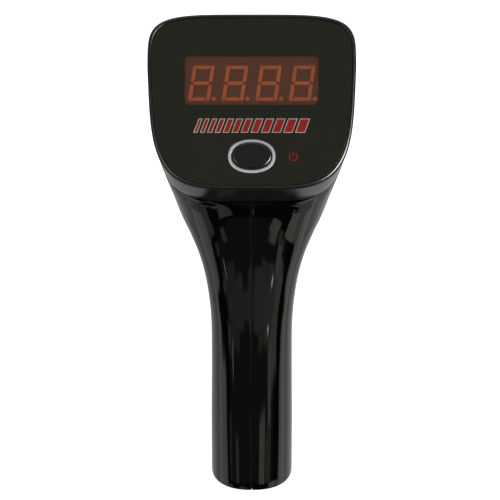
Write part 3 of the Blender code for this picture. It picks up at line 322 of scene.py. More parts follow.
def housing_rings():
    """Rings from the seam down to the base, eased through the stations."""
    heads = [(s[0], NECK + s[1], s[2], NECK + s[3], *s[4:]) for s in HEAD_SECTIONS]
    seam = shifted(rim_section(BEZEL_DEPTH), GROOVE - PARTING / 2)
    stations = [np.array(s) for s in (seam, *heads, *GRIP_SECTIONS)]
    slopes = [(b - a) / 2 for a, b in zip(stations, stations[2:])]
    slopes = [stations[1] - stations[0], *slopes, stations[-1] - stations[-2]]
    rings = []
    for i in range(len(stations) - 1):
        for step in range(SPAN_STEPS):
            t = step / SPAN_STEPS
            ease = (
                2 * t**3 - 3 * t**2 + 1, t**3 - 2 * t**2 + t, 3 * t**2 - 2 * t**3, t**3 - t**2
            )
            parts = (stations[i], slopes[i], stations[i + 1], slopes[i + 1])
            rings.append(ring(tuple(sum(e * p for e, p in zip(ease, parts)))))
    for inset, height in quarter_turn(BASE_RADIUS, BASE_STEPS):
        rings.append(ring(base_section(height), inset))
    return rings


def skin(rings, closed=False):
    """A quad skin over rings of equal counts, facing outwards."""
    bm = bmesh.new()
    rows = [[bm.verts.new(point) for point in points] for points in rings]
    for one, two in list(zip(rows, rows[1:])) + ([(rows[-1], rows[0])] if closed else []):
        for i in range(len(one)):
            j = (i + 1) % len(one)
            bm.faces.new((one[i], one[j], two[j], two[i]))
    bmesh.ops.recalc_face_normals(bm, faces=bm.faces)
    outermost = max(bm.faces, key=lambda face: face.calc_center_median().x)
    if outermost.normal.x < 0:
        bmesh.ops.reverse_faces(bm, faces=bm.faces)
    return bm


def split_at(bm, place, normal, clear=False, faces=None):
    """Cuts the mesh along a plane, and drops what lies beyond it if asked to."""
    faces = bm.faces[:] if faces is None else faces
    geometry = {*faces, *(e for f in faces for e in f.edges), *(v for f in faces for v in f.verts)}
    bmesh.ops.bisect_plane(
        bm, geom=list(geometry), dist=1e-5, plane_co=place, plane_no=normal, clear_outer=clear
    )


def drop_faces(bm, low, high):
    """Removes the faces whose middle lies in this box."""
    def within(face):
        return all(a <= v <= b for a, v, b in zip(low, face.calc_center_median(), high))

    bmesh.ops.delete(bm, geom=[f for f in bm.faces if within(f)], context="FACES")


SMOOTH_UNDER, ROUND_OVER = math.radians(38), math.radians(40)


def drawn(name, bm):
    """An object from a mesh drawn in millimetres, shaded smooth between its sharp edges."""
    bmesh.ops.scale(bm, vec=(MM, MM, MM), verts=bm.verts)
    mesh = bpy.data.meshes.new(name)
    bm.to_mesh(mesh)
    bm.free()
    mesh.shade_smooth()
    mesh.set_sharp_from_angle(angle=SMOOTH_UNDER)
    obj = bpy.data.objects.new(name, mesh)
    scene.collection.objects.link(obj)
    return obj


def applied(obj):
    """Fixes the modifiers into the mesh."""
    bpy.context.view_layer.update()
    graph = bpy.context.evaluated_depsgraph_get()
    mesh = bpy.data.meshes.new_from_object(obj.evaluated_get(graph))
    obj.modifiers.clear()
    obj.data = mesh
    return obj


def carved(obj, operation, *tools):
    """Adds or cuts away the tools, which are used up."""
    for tool in tools:
        modifier = obj.modifiers.new(tool.name, "BOOLEAN")
        modifier.operation = operation
        modifier.object = tool
        modifier.solver = "EXACT"
    applied(obj)
    for tool in tools:
        bpy.data.objects.remove(tool, do_unlink=True)
    obj.data.shade_smooth()
    obj.data.set_sharp_from_angle(angle=SMOOTH_UNDER)


def thickened(obj, wall):
    modifier = obj.modifiers.new("wall", "SOLIDIFY")
    modifier.thickness = wall * MM
    modifier.offset = -1
    modifier.use_even_offset = True
    return applied(obj)


def softened(obj, radius, segments=2):
    """Rounds the sharp edges, as a mould does."""
    modifier = obj.modifiers.new("edges", "BEVEL")
    modifier.width = radius * MM
    modifier.segments = segments
    modifier.limit_method = "ANGLE"
    modifier.angle_limit = ROUND_OVER
    modifier.use_clamp_overlap = True
    modifier.harden_normals = True
    return obj


def dressed(obj, finish, body, slot, *nodes):
    """Gives the piece its finish and its place in the frame."""
    obj.data.materials.clear()
    obj.data.materials.append(finish)
    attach(obj, body)
    if nodes:
        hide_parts(*nodes)


PLASTIC_IOR = 1.5
CLOUD_SCALE, CLOUD_DETAIL, CLOUD_SPAN = 70, 4, (0.35, 0.65)
STREAK_SCALE, STREAK_DETAIL, STREAK_STRETCH = 160, 3, (1, 1, 0.25)
GRAIN_DETAIL = 2
LEAST_ROUGH = 0.02


def moulded(name, colour, rough, cloud=0.15, scuff=0.03, grain=1400.0, relief=0.004):
    """Moulded plastic: a faint cloud in its colour, wiped streaks in its gloss and fine grain."""
    material = bpy.data.materials.new(name)
    material.use_nodes = True
    nodes, links = material.node_tree.nodes, material.node_tree.links
    shader = nodes["Principled BSDF"]
    shader.inputs["IOR"].default_value = PLASTIC_IOR
    place = nodes.new("ShaderNodeTexCoord")

    def noise(scale, detail, stretch=(1, 1, 1)):
        spread = nodes.new("ShaderNodeMapping")
        spread.inputs["Scale"].default_value = stretch
        texture = nodes.new("ShaderNodeTexNoise")
        texture.inputs["Scale"].default_value = scale
        texture.inputs["Detail"].default_value = detail
        links.new(place.outputs["Object"], spread.inputs["Vector"])
        links.new(spread.outputs[0], texture.inputs["Vector"])
        return texture.outputs["Fac"]

    tint = nodes.new("ShaderNodeValToRGB")
    for stop, at, share in zip(tint.color_ramp.elements, CLOUD_SPAN, (1 - cloud, 1 + cloud)):
        stop.position = at
        stop.color = (*(channel * share for channel in colour), 1)
    links.new(noise(CLOUD_SCALE, CLOUD_DETAIL), tint.inputs[0])
    links.new(tint.outputs[0], shader.inputs["Base Color"])
    gloss = nodes.new("ShaderNodeMapRange")
    gloss.inputs["To Min"].default_value = max(rough - scuff, LEAST_ROUGH)
    gloss.inputs["To Max"].default_value = rough + scuff
    links.new(noise(STREAK_SCALE, STREAK_DETAIL, STREAK_STRETCH), gloss.inputs["Value"])
    links.new(gloss.outputs[0], shader.inputs["Roughness"])
    bump = nodes.new("ShaderNodeBump")
    bump.inputs["Strength"].default_value = 1.0
    bump.inputs["Distance"].default_value = relief * MM
    links.new(noise(grain, GRAIN_DETAIL), bump.inputs["Height"])
    links.new(bump.outputs[0], shader.inputs["Normal"])
    return material


gloss_black = moulded(
    "gloss_black_abs", (0.0010, 0.0010, 0.0010), 0.045, scuff=0.02, grain=220, relief=0.003
)

DOOR_END = 13.2
KNUCKLE_ROOM_HALF, KNUCKLE_ROOM_FRONT = 5.7, 18.8
SLOT_HALF = 5.3
SLOT_REAR, SLOT_FRONT = 26.0, 42.4
SLOT_FOOT, SLOT_HEAD = 60.0, NECK - 9.5
FAR = 400.0
EDGE = 0.16
PARTING_EDGE = 0.3
SHELL_SCREWS = ((16, 18), (17.4, 57), (40, NECK - 3.3), (31, NECK + 40.1))
SCREW_HEAD_ROOM = 2.4
SCREW_BOSS = 3.5
SCREW_SEAT = 6.0
SCREW_SHANK_ROOM = 1.4
SCREW_BOSS_END = -1.0
HOLE_SIDES = 28
# Faces of the base lie lower than this, and those left to be cut are larger than these areas
BASE_TOP = 0.01
WHOLE_FACE, CUT_FACE = 50, 20


def punch(bm, y, z, radius):
    """Cuts a round hole through the left wall."""
    def on_left(reach):
        at = Vector((y, z))
        near = [f for f in bm.faces if (f.calc_center_median().yz - at).length < reach]
        return [f for f in near if f.normal.x < 0]

    for i in range(HOLE_SIDES):
        a = 2 * math.pi * i / HOLE_SIDES
        out = Vector((0, math.cos(a), math.sin(a)))
        split_at(bm, Vector((0, y, z)) + out * radius, out, faces=on_left(2 * radius + 1))
    bmesh.ops.delete(bm, geom=on_left(radius), context="FACES")


def add_boss(bm, outside, y, z):
    """The moulded tube that carries a screw's head, standing in the left wall."""
    turns = [2 * math.pi * i / HOLE_SIDES for i in range(HOLE_SIDES)]

    def in_wall(radius, a):
        from_left = Vector((-FAR, y + radius * math.cos(a), z + radius * math.sin(a)))
        return outside.ray_cast(from_left, Vector((1, 0, 0)))[0].x + WALL / 2

    rows = []
    for radius, place in (
        (SCREW_HEAD_ROOM, None), (SCREW_BOSS, None),
        (SCREW_BOSS, SCREW_BOSS_END), (SCREW_SHANK_ROOM, SCREW_BOSS_END),
        (SCREW_SHANK_ROOM, -SCREW_SEAT), (SCREW_HEAD_ROOM, -SCREW_SEAT),
    ):
        row = []
        for a in turns:
            x = in_wall(max(radius, SCREW_HEAD_ROOM + GAP), a) if place is None else place
            row.append(bm.verts.new((x, y + radius * math.cos(a), z + radius * math.sin(a))))
        rows.append(row)
    faces = []
    for one, two in zip(rows, rows[1:] + rows[:1]):
        for i in range(HOLE_SIDES):
            faces.append(bm.faces.new((one[i - 1], one[i], two[i], two[i - 1])))
    bmesh.ops.recalc_face_normals(bm, faces=faces)


def half_skin(side):
    """One half's outside, with its base, and cut for the door, the trigger and the screws."""
    bm = skin(housing_rings())

    def base_faces(over):
        low = [f for f in bm.faces if f.calc_center_median().z < BASE_TOP]
        return [f for f in low if f.calc_area() > over]

    foot = [e for e in bm.edges if e.is_boundary and max(v.co.z for v in e.verts) < BASE_TOP]
    ledge = bmesh.ops.edgeloop_fill(bm, edges=foot)["faces"]
    bmesh.ops.inset_region(bm, faces=ledge, thickness=BASE_LEDGE - BASE_RADIUS, use_even_offset=True)
    flat = [f for f in bm.faces if f.calc_center_median().z < BASE_TOP and len(f.verts) > 4]
    for face in flat:
        if face.normal.z > 0:
            face.normal_flip()
    split_at(bm, (0, DOOR_END + GAP, 0), (0, 1, 0), faces=flat)
    parts = sorted(base_faces(WHOLE_FACE), key=lambda f: f.calc_center_median().y)
    rear_part, front_part = parts[0], parts[-1]
    bmesh.ops.delete(bm, geom=[rear_part], context="FACES")
    split_at(bm, (0, KNUCKLE_ROOM_FRONT, 0), (0, 1, 0), faces=[front_part])
    for x in (-KNUCKLE_ROOM_HALF, KNUCKLE_ROOM_HALF):
        split_at(bm, (x, 0, 0), (1, 0, 0), faces=base_faces(CUT_FACE))
    drop_faces(
        bm, (-KNUCKLE_ROOM_HALF, DOOR_END, -BASE_TOP), (KNUCKLE_ROOM_HALF, KNUCKLE_ROOM_FRONT, BASE_TOP)
    )
    split_at(bm, (side * PARTING / 2, 0, 0), (-side, 0, 0), True)
    split_at(bm, (0, RADOME_Y - PARTING / 2, 0), (0, 1, 0), True)
    for place, normal in (
        ((side * SLOT_HALF, 0, 0), (1, 0, 0)),
        ((0, SLOT_REAR, 0), (0, 1, 0)),
        ((0, SLOT_FRONT, 0), (0, 1, 0)),
        ((0, 0, SLOT_HEAD), (0, 0, 1)),
    ):
        split_at(bm, place, normal)
    drop_faces(bm, (-SLOT_HALF, SLOT_REAR, SLOT_FOOT), (SLOT_HALF, SLOT_FRONT, SLOT_HEAD))
    if side < 0:
        for y, z in SHELL_SCREWS:
            punch(bm, y, z, SCREW_HEAD_ROOM)
    return bm


# The tongue along the left half's edge: its root and tip across the gun, its depths under the skin,
# and how far it stops short of the nose, of the trigger's slot and of the base
TONGUE_ROOT, TONGUE_TIP = -PARTING / 2 - 0.01, PARTING / 2 - 0.03
TONGUE_OUTER, TONGUE_INNER = 0.9, 2.0
NOSE_SHORT, SLOT_SHORT, BASE_SHORT = 1, 6, 0.1


def add_tongue(bm, index):
    """The moulded tongue at this place round the rings, which closes the parting line from inside."""
    runs = [[]]
    for points in housing_rings():
        edge, over = points[index], points[index - ROUND_COUNT // 2]
        nose = edge.y > RADOME_Y - NOSE_SHORT
        slot = edge.y > SLOT_REAR - SLOT_SHORT and SLOT_FOOT < edge.z < SLOT_HEAD
        if nose or slot or edge.z < BASE_SHORT:
            runs.append([])
        else:
            runs[-1].append((edge, (over - edge).normalized()))
    corners = (
        (TONGUE_ROOT, TONGUE_OUTER), (TONGUE_TIP, TONGUE_OUTER),
        (TONGUE_TIP, TONGUE_INNER), (TONGUE_ROOT, TONGUE_INNER),
    )
    for run in runs:
        if len(run) > 2:
            rows = [
                [bm.verts.new(edge + way * deep + Vector((x, 0, 0))) for x, deep in corners]
                for edge, way in run
            ]
            faces = [bm.faces.new(rows[0]), bm.faces.new(rows[-1])]
            for one, two in zip(rows, rows[1:]):
                faces += [bm.faces.new((one[i], one[i - 1], two[i - 1], two[i])) for i in range(4)]
            bmesh.ops.recalc_face_normals(bm, faces=faces)


PARTING_SHARP = math.radians(60)


def round_parting(bm, side):
    """Rounds the long edges where this half meets the other one."""
    def on_parting(edge):
        return all(abs(v.co.x - side * PARTING / 2) < 1e-3 for v in edge.verts)

    edges = [e for e in bm.edges if on_parting(e) and e.calc_face_angle(0) > PARTING_SHARP]
    bmesh.ops.bevel(bm, geom=edges, offset=PARTING_EDGE, segments=3, profile=0.5, affect="EDGES")


for side_name, side in (("left", -1), ("right", 1)):
    shell = thickened(drawn(f"{side_name}_housing", half_skin(side)), WALL)
    fitted = bmesh.new()
    fitted.from_mesh(shell.data)
    bmesh.ops.scale(fitted, vec=(1 / MM,) * 3, verts=fitted.verts)
    if side < 0:
        outside = BVHTree.FromBMesh(fitted)
        for y, z in SHELL_SCREWS:
            add_boss(fitted, outside, y, z)
    round_parting(fitted, side)
    if side < 0:
        add_tongue(fitted, 0)
        add_tongue(fitted, ROUND_COUNT // 2)
    bmesh.ops.scale(fitted, vec=(MM,) * 3, verts=fitted.verts)
    fitted.to_mesh(shell.data)
    fitted.free()
    softened(shell, EDGE)
    dressed(shell, gloss_black, "gun", "gloss_shell", f"{side_name}_shell")

# Radome: the nose cap that the beam leaves through, a satin black plastic that passes microwaves. It
# carries on the housing's skin, a parting line away, and its lip is glued inside the two halves.
RADOME_WALL = 2.0
nose = skin(housing_rings())
split_at(nose, (0, RADOME_Y + PARTING / 2, 0), (0, -1, 0), True)
satin_nose = moulded("satin_black_radome", (0.02, 0.02, 0.021), 0.42, grain=2600, relief=0.02)
radome = softened(thickened(drawn("nose_cap", nose), RADOME_WALL), EDGE)
dressed(radome, satin_nose, "gun", "radome", "radome")

# Rear bezel: the deep satin black cap round the face, with a rounded rim and a step for the panel. It
# plugs into the housing with a lip, and four screws hidden under the panel hold it.
RIM_WIDTH = 1.3
RIM_INNER_RADIUS = 0.22
FLOOR_TOP = 1.9
FLOOR_BACK = 4.0
FLOOR_LEDGE = 6.0
BEZEL_COUNT = 220
BEZEL_ROWS = (10.5, 6.0, 3.0)
RIM_STEPS, RIM_INNER_STEPS = 8, 4
LIP = WALL + 0.85
LIP_INNER = LIP + 1.4
LIP_START, LIP_BEND, LIP_END = BEZEL_DEPTH - 5, BEZEL_DEPTH - 3, BEZEL_DEPTH + 2.0
GROOVE_DEEP = 0.6
GROOVE_END = BEZEL_DEPTH + GROOVE - 0.4
# The cap's section, as depths behind the crest of the rim and insets from the outside
bezel_end = BEZEL_DEPTH - PARTING / 2
eased = EDGE * 0.3
bezel_profile = [(bezel_end, EDGE), (bezel_end - eased, eased), (bezel_end - EDGE, 0.0)]
bezel_profile += [(depth, 0.0) for depth in BEZEL_ROWS]
bezel_profile += [(depth, inset) for inset, depth in quarter_turn(RIM_RADIUS, RIM_STEPS)]
for depth, short in quarter_turn(RIM_INNER_RADIUS, RIM_INNER_STEPS):
    bezel_profile.append((depth, RIM_WIDTH - short))
bezel_profile += [
    (FLOOR_TOP, RIM_WIDTH), (FLOOR_TOP, FLOOR_LEDGE), (FLOOR_BACK, FLOOR_LEDGE), (FLOOR_BACK, WALL),
    (LIP_START, WALL), (LIP_BEND, LIP_INNER), (LIP_END, LIP_INNER), (LIP_END, LIP),
    (GROOVE_END, LIP), (GROOVE_END, GROOVE_DEEP), (bezel_end, GROOVE_DEEP),
]
bezel_rings = [ring(rim_section(depth), inset, BEZEL_COUNT) for depth, inset in bezel_profile]
satin_bezel = moulded(
    "satin_black_bezel", (0.0065, 0.0065, 0.0068), 0.18, grain=1500, relief=0.0015
)
bezel = drawn("display_bezel", skin(bezel_rings, closed=True))
dressed(bezel, satin_bezel, "gun", "satin_bezel", "rear_bezel")

# Face panel: a smooth olive-black polycarbonate plate, cut for the window and the button, and bonded
# to the bezel's step just under the rim.
FACE = Matrix(
    ((1, 0, 0, 0), (0, UP.y, INTO.y, RIM_FOOT.y), (0, UP.z, INTO.z, RIM_FOOT.z), (0, 0, 0, 1))
)
PANEL_DROP = 0.2
PANEL_BACK = 1.6
PANEL_EDGE = 0.05
PANEL_COUNT = 200
FIT = 0.2
THROUGH = 5
WINDOW = (49.6, 18.7)
WINDOW_CORNER = 1.9
WINDOW_UP = 41.63
BUTTON = (14.7, 10.0)
BUTTON_RING = (17.4, 12.7)
BUTTON_UP = 12.6
OVAL_POWER = 2.2


def oval(size, up, count=96):
    points = []
    for i in range(count):
        a = 2 * math.pi * i / count
        wave = (math.cos(a), math.sin(a))
        x, y = (math.copysign(abs(w) ** (2 / OVAL_POWER), w) * s / 2 for w, s in zip(wave, size))
        points.append((x, y + up))
    return points


def round_rect(size, radius, up, steps=10):
    points = []
    for quarter, (sx, sy) in enumerate(((1, 1), (-1, 1), (-1, -1), (1, -1))):
        for i in range(steps + 1):
            a = (quarter + i / steps) * math.pi / 2
            x = sx * (size[0] / 2 - radius) + radius * math.cos(a)
            points.append((x, sy * (size[1] / 2 - radius) + radius * math.sin(a) + up))
    return points


def on_face(outline, depth):
    return [FACE @ Vector((x, up, depth)) for x, up in outline]


def plate(name, levels):
    """A closed plate through outlines on the face, each at its depth."""
    bm = bmesh.new()
    rows = [[bm.verts.new(p) for p in on_face(outline, depth)] for outline, depth in levels]
    for one, two in zip(rows, rows[1:]):
        for i in range(len(one)):
            j = (i + 1) % len(one)
            bm.faces.new((one[i], one[j], two[j], two[i]))
    bm.faces.new(rows[0])
    bm.faces.new(rows[-1])
    bmesh.ops.recalc_face_normals(bm, faces=bm.faces)
    return drawn(name, bm)


def larger(size, room):
    return [side + 2 * room for side in size]


panel_ring = ring(rim_section(0), RIM_WIDTH + FIT, PANEL_COUNT)
panel_outline = [(p.x, (p - RIM_FOOT).dot(UP)) for p in panel_ring]
panel = plate("face_plate", [(panel_outline, PANEL_DROP), (panel_outline, PANEL_BACK)])
window_gap = round_rect(larger(WINDOW, FIT), WINDOW_CORNER + FIT, WINDOW_UP)
ring_gap = oval(larger(BUTTON_RING, FIT), BUTTON_UP)
holes = [plate("panel_hole", [(gap, -THROUGH), (gap, THROUGH)]) for gap in (window_gap, ring_gap)]
carved(panel, "DIFFERENCE", *holes)
softened(panel, PANEL_EDGE)
gloss_panel = moulded(
    "olive_black_panel", (0.0108, 0.0110, 0.0068), 0.10, cloud=0.1, grain=260, relief=0.002
)
dressed(panel, gloss_panel, "gun", "gloss_panel", "face_panel")

# Panel print: a row of slanted red speed bars with a cream edge and a small red power sign, screen
# printed on the panel in two coats of ink.
BAR_UP, BAR_TALL = 24.2, 4.9
BAR_SLANT = math.tan(math.radians(20))
BAR_GAP = 1.5
BAR_WIDTHS = (0.9, 1.1, 1.3, 1.5, 1.7, 1.9, 2.1, 2.3, 2.5, 2.7, 2.9, 3.1)
BAR_EDGE = 0.26
SIDE_EDGE = 1.1
SIGN_AT = Vector((15.2, 12.4))
SIGN_RADIUS, SIGN_STROKE = 1.45, 0.42
SIGN_OPEN, SIGN_STEPS = 38, 40
STEM_LOW, STEM_HIGH = 0.2, SIGN_RADIUS + 0.45
INK_FOOT, UNDERCOAT, TOPCOAT = PANEL_DROP + 0.01, PANEL_DROP - 0.015, PANEL_DROP - 0.03


def raised(name, outlines, top, foot):
    """Flat shapes on the face, each raised as a block from one depth to another."""
    bm = bmesh.new()
    for outline in outlines:
        upper, lower = ([bm.verts.new(p) for p in on_face(outline, depth)] for depth in (top, foot))
        faces = [bm.faces.new(upper), bm.faces.new(lower)]
        for i in range(len(upper)):
            faces.append(bm.faces.new((upper[i - 1], upper[i], lower[i], lower[i - 1])))
        bmesh.ops.recalc_face_normals(bm, faces=faces)
    return drawn(name, bm)


def bar(start, width, grow):
    """A slanted bar of the row, with this much edge round it."""
    low, high = -BAR_TALL / 2 - grow, BAR_TALL / 2 + grow
    left, right = start - grow * SIDE_EDGE, start + width + grow * SIDE_EDGE
    corners = ((left, low), (right, low), (right, high), (left, high))
    return [(x + y * BAR_SLANT, y + BAR_UP) for x, y in corners]


bar_starts = [sum(BAR_WIDTHS[:i]) + i * BAR_GAP for i in range(len(BAR_WIDTHS))]
row_half = (bar_starts[-1] + BAR_WIDTHS[-1]) / 2
bars = [(start - row_half, width) for start, width in zip(bar_starts, BAR_WIDTHS)]
sweep_round = 360 - 2 * SIGN_OPEN
turns = [math.radians(90 + SIGN_OPEN + sweep_round * i / SIGN_STEPS) for i in range(SIGN_STEPS + 1)]
half_stroke = SIGN_STROKE / 2
arc = [
    (SIGN_AT.x + radius * math.cos(a), SIGN_AT.y + radius * math.sin(a))
    for radius, way in ((SIGN_RADIUS + half_stroke, 1), (SIGN_RADIUS - half_stroke, -1))
    for a in turns[::way]
]
stem = [
    (SIGN_AT.x + side * half_stroke, SIGN_AT.y + up)
    for side, up in ((-1, STEM_LOW), (1, STEM_LOW), (1, STEM_HIGH), (-1, STEM_HIGH))
]
cream_ink = moulded("cream_ink", (0.50, 0.44, 0.36), 0.14, cloud=0.08, grain=900, relief=0.002)
red_ink = moulded("red_ink", (0.30, 0.004, 0.006), 0.14, cloud=0.08, grain=900, relief=0.002)
edges = [bar(left, width, BAR_EDGE) for left, width in bars]
undercoat = raised("bar_edges", edges, UNDERCOAT, INK_FOOT)
dressed(undercoat, cream_ink, "gun", "gloss_panel")
fills = [bar(left, width, 0.0) for left, width in bars]
topcoat = raised("speed_bars", fills + [arc, stem], TOPCOAT, INK_FOOT)
dressed(topcoat, red_ink, "gun", "gloss_panel")

# Display window: a brown tinted acrylic pane, moulded flat and bonded flush into the panel's cut-out
# over the display.
WINDOW_BACK = PANEL_BACK - 0.1
WINDOW_SHOULDER, WINDOW_EDGE = 0.24, 0.03
WINDOW_ALPHA = 0.26
window_levels = []
for depth, inset in ((WINDOW_BACK, 0.0), (WINDOW_SHOULDER, 0.0), (PANEL_DROP, WINDOW_EDGE)):
    outline = round_rect(larger(WINDOW, -inset), WINDOW_CORNER - inset, WINDOW_UP)
    window_levels.append((outline, depth))
window = plate("window_pane", window_levels)
tinted = moulded(
    "brown_acrylic", (0.21, 0.060, 0.024), 0.07, cloud=0.05, scuff=0.01, grain=90, relief=0.001
)
tinted.node_tree.nodes["Principled BSDF"].inputs["Alpha"].default_value = WINDOW_ALPHA
dressed(window, tinted, "gun", "tinted_window", "display_window")

# Display module: a black potted case close behind the window, with four slanted seven-segment digits.
# Their bars are openings in the case's face, filled from behind with dull orange resin.
MODULE, MODULE_CORNER, MODULE_WALL = (50.3, 19.3), 0.4, 1.2
MODULE_TOP, MODULE_BACK = PANEL_BACK + 0.3, 11.2
POT_TOP, POT_ROOM = MODULE_TOP + MODULE_WALL, 0.3
OVERRUN = 1
DIGIT_COUNT = 4
DIGIT, DIGIT_PITCH, DIGIT_UP = (8.0, 13.6), 12.46, 41.05
DIGIT_SLANT = math.tan(math.radians(8))
STROKE, STROKE_GAP, STROKE_ROOM = 1.31, 0.3, 0.05
STROKE_CORNER, STROKE_POINT, STROKE_NOTCH = 0.5, 0.4, 0.2
STROKE_DROP = 0.05
DOT, DOT_RIGHT, DOT_SIDES = 0.78, 1.45, 24
MATT_SPECULAR = 0.28


def disc(across, up, radius, count=48):
    turns = (2 * math.pi * i / count for i in range(count))
    return [(across + radius * math.cos(a), up + radius * math.sin(a)) for a in turns]


def mirrored(shape, wide=None, high=None):
    return [(wide - x if wide else x, high - y if high else y) for x, y in shape]


def digit_shapes(room):
    """The seven bars and the point of each digit, with this much room round them."""
    wide, high = larger(DIGIT, room)
    bar_wide, gap = STROKE + 2 * room, STROKE_GAP - 2 * room
    half, mid = bar_wide / 2, high / 2
    left, right = bar_wide + gap, wide - bar_wide - gap
    top = [(left, high - bar_wide), (right, high - bar_wide), (right, high), (left, high)]
    left, right = bar_wide + gap / 2, wide - bar_wide - gap / 2
    cross = [
        (half + gap, mid), (left, mid - half), (right, mid - half),
        (wide - half - gap, mid), (right, mid + half), (left, mid + half),
    ]
    post = [
        (0, mid + gap + STROKE_POINT), (half - STROKE_NOTCH, mid + gap), (bar_wide, mid + half + gap),
        (bar_wide, high), (STROKE_CORNER, high), (0, high - STROKE_CORNER),
    ]
    low_post = mirrored(post, high=high)
    shapes = [
        top, mirrored(top, high=high), cross,
        post, mirrored(post, wide), low_post, mirrored(low_post, wide),
        disc(wide + DOT_RIGHT, DOT + room, DOT + room, DOT_SIDES),
    ]
    starts = [(i - (DIGIT_COUNT - 1) / 2) * DIGIT_PITCH - wide / 2 for i in range(DIGIT_COUNT)]
    return [
        [(x + start + (y - mid) * DIGIT_SLANT, y - mid + DIGIT_UP) for x, y in shape]
        for start in starts for shape in shapes
    ]


def module_block(name, inset, top, foot):
    outline = round_rect(larger(MODULE, -inset), MODULE_CORNER, WINDOW_UP)
    return plate(name, [(outline, top), (outline, foot)])


case = module_block("module_case", 0, MODULE_TOP, MODULE_BACK)
pot_room = module_block("pot_room", MODULE_WALL, POT_TOP, MODULE_BACK + OVERRUN)
bar_holes = raised("bar_holes", digit_shapes(STROKE_ROOM), MODULE_TOP - OVERRUN, POT_TOP + OVERRUN)
carved(case, "DIFFERENCE", pot_room, bar_holes)
module_black = moulded("module_black", (0.026, 0.014, 0.009), 0.45, grain=3000, relief=0.01)
dressed(case, module_black, "gun", "switch_case", "display_housing")
pot_inset = MODULE_WALL + POT_ROOM
digits = module_block("digit_resin", pot_inset, POT_TOP + POT_ROOM, MODULE_BACK - POT_ROOM)
digit_bars = raised("bars", digit_shapes(0), MODULE_TOP + STROKE_DROP, POT_TOP + OVERRUN)
carved(digits, "UNION", digit_bars)
resin = moulded("orange_resin", (0.86, 0.185, 0.046), 0.4, cloud=0.06, grain=1800, relief=0.006)
for matt in (module_black, resin):
    matt.node_tree.nodes["Principled BSDF"].inputs["Specular IOR Level"].default_value = MATT_SPECULAR
dressed(digits, resin, "gun", "segment_resin", "display_segments")

# Button ring: a light grey oval trim, moulded with a softly rounded face and pressed into the panel
# round the power button.
# Its section, as depths under the crest of the rim and insets from its outside
TRIM_SECTION = (
    (PANEL_BACK, 0.0), (0.25, 0.0), (0.1, 0.08), (0.05, 0.25),
    (0.05, 0.95), (0.12, 1.08), (PANEL_BACK, 1.15),
)
trim_rings = [
    on_face(oval(larger(BUTTON_RING, -inset), BUTTON_UP), depth) for depth, inset in TRIM_SECTION
]
trim = drawn("button_trim", skin(trim_rings, closed=True))
grey_trim = moulded("light_grey_trim", (0.50, 0.52, 0.54), 0.28, cloud=0.04, grain=2200, relief=0.006)
dressed(trim, grey_trim, "gun", "grey_trim", "button_ring")

# Power button: a glossy black domed cap, moulded in ABS, that stands proud of the ring. A flange under
# the panel keeps it in.
CAP_TOP = PANEL_DROP - 1.2
CAP_EDGE, CAP_EDGE_STEPS = 0.8, 8
CAP_CROWN, CROWN_SHARES = 0.12, (0.75, 0.5, 0.25, 0.05)
FLANGE = 1.2
FLANGE_TOP, FLANGE_FOOT = 4.4, 5.4
flange_size = larger(BUTTON, FLANGE)
button_levels = [(flange_size, FLANGE_FOOT), (flange_size, FLANGE_TOP), (BUTTON, FLANGE_TOP)]
for inset, drop in quarter_turn(CAP_EDGE, CAP_EDGE_STEPS):
    button_levels.append((larger(BUTTON, -inset), CAP_TOP + drop))
for share in CROWN_SHARES:
    size = [side * share for side in larger(BUTTON, -CAP_EDGE)]
    button_levels.append((size, CAP_TOP - CAP_CROWN * (1 - share**2)))
button = plate("power_cap", [(oval(size, BUTTON_UP), depth) for size, depth in button_levels])
button_black = moulded("button_black", (0.006, 0.006, 0.006), 0.12, grain=500, relief=0.002)
dressed(button, button_black, "power_button", "button_black", "power_button")

# Button switch and main board: a tact switch under the button on a green glass-fibre board, which is
# screwed to the bezel's posts behind the display.
def reassigned(finish, *names):
    """Gives carried-over CAD nodes this finish."""
    for name in names:
        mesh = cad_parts[name].data
        mesh.materials.clear()
        mesh.materials.append(finish)


case_black = moulded("switch_case_black", (0.02, 0.02, 0.02), 0.45, grain=2600, relief=0.01)
plunger_red = moulded("plunger_red", (0.35, 0.04, 0.03), 0.4)
board_green = moulded("board_green", (0.02, 0.16, 0.06), 0.35, cloud=0.3, grain=4200, relief=0.02)
reassigned(case_black, "button_switch", "trigger_switch")
reassigned(plunger_red, "button_plunger", "trigger_plunger")
reassigned(board_green, "main_board")


# Radar: a horn cast in alloy, which stands in ribs behind the radome, bolted to the milled block of
# the transceiver that feeds it.
def metal(name, colour, rough, grain=2600, relief=0.006):
    finish = moulded(name, colour, rough, cloud=0.06, scuff=0.06, grain=grain, relief=relief)
    finish.node_tree.nodes["Principled BSDF"].inputs["Metallic"].default_value = 1
    return finish


cast_alloy = metal("cast_alloy", (0.5, 0.5, 0.49), 0.42, 1500, 0.03)
block_alloy = metal("milled_alloy", (0.62, 0.62, 0.61), 0.3)
reassigned(cast_alloy, "horn_antenna")
reassigned(block_alloy, "radar_transceiver")

# Cells: two C cells on top of each other in the grip, each a steel can in a black and copper sleeve,
# between nickel contacts and a conical spring on the door.
CAN = (0.6, 0.6, 0.58)
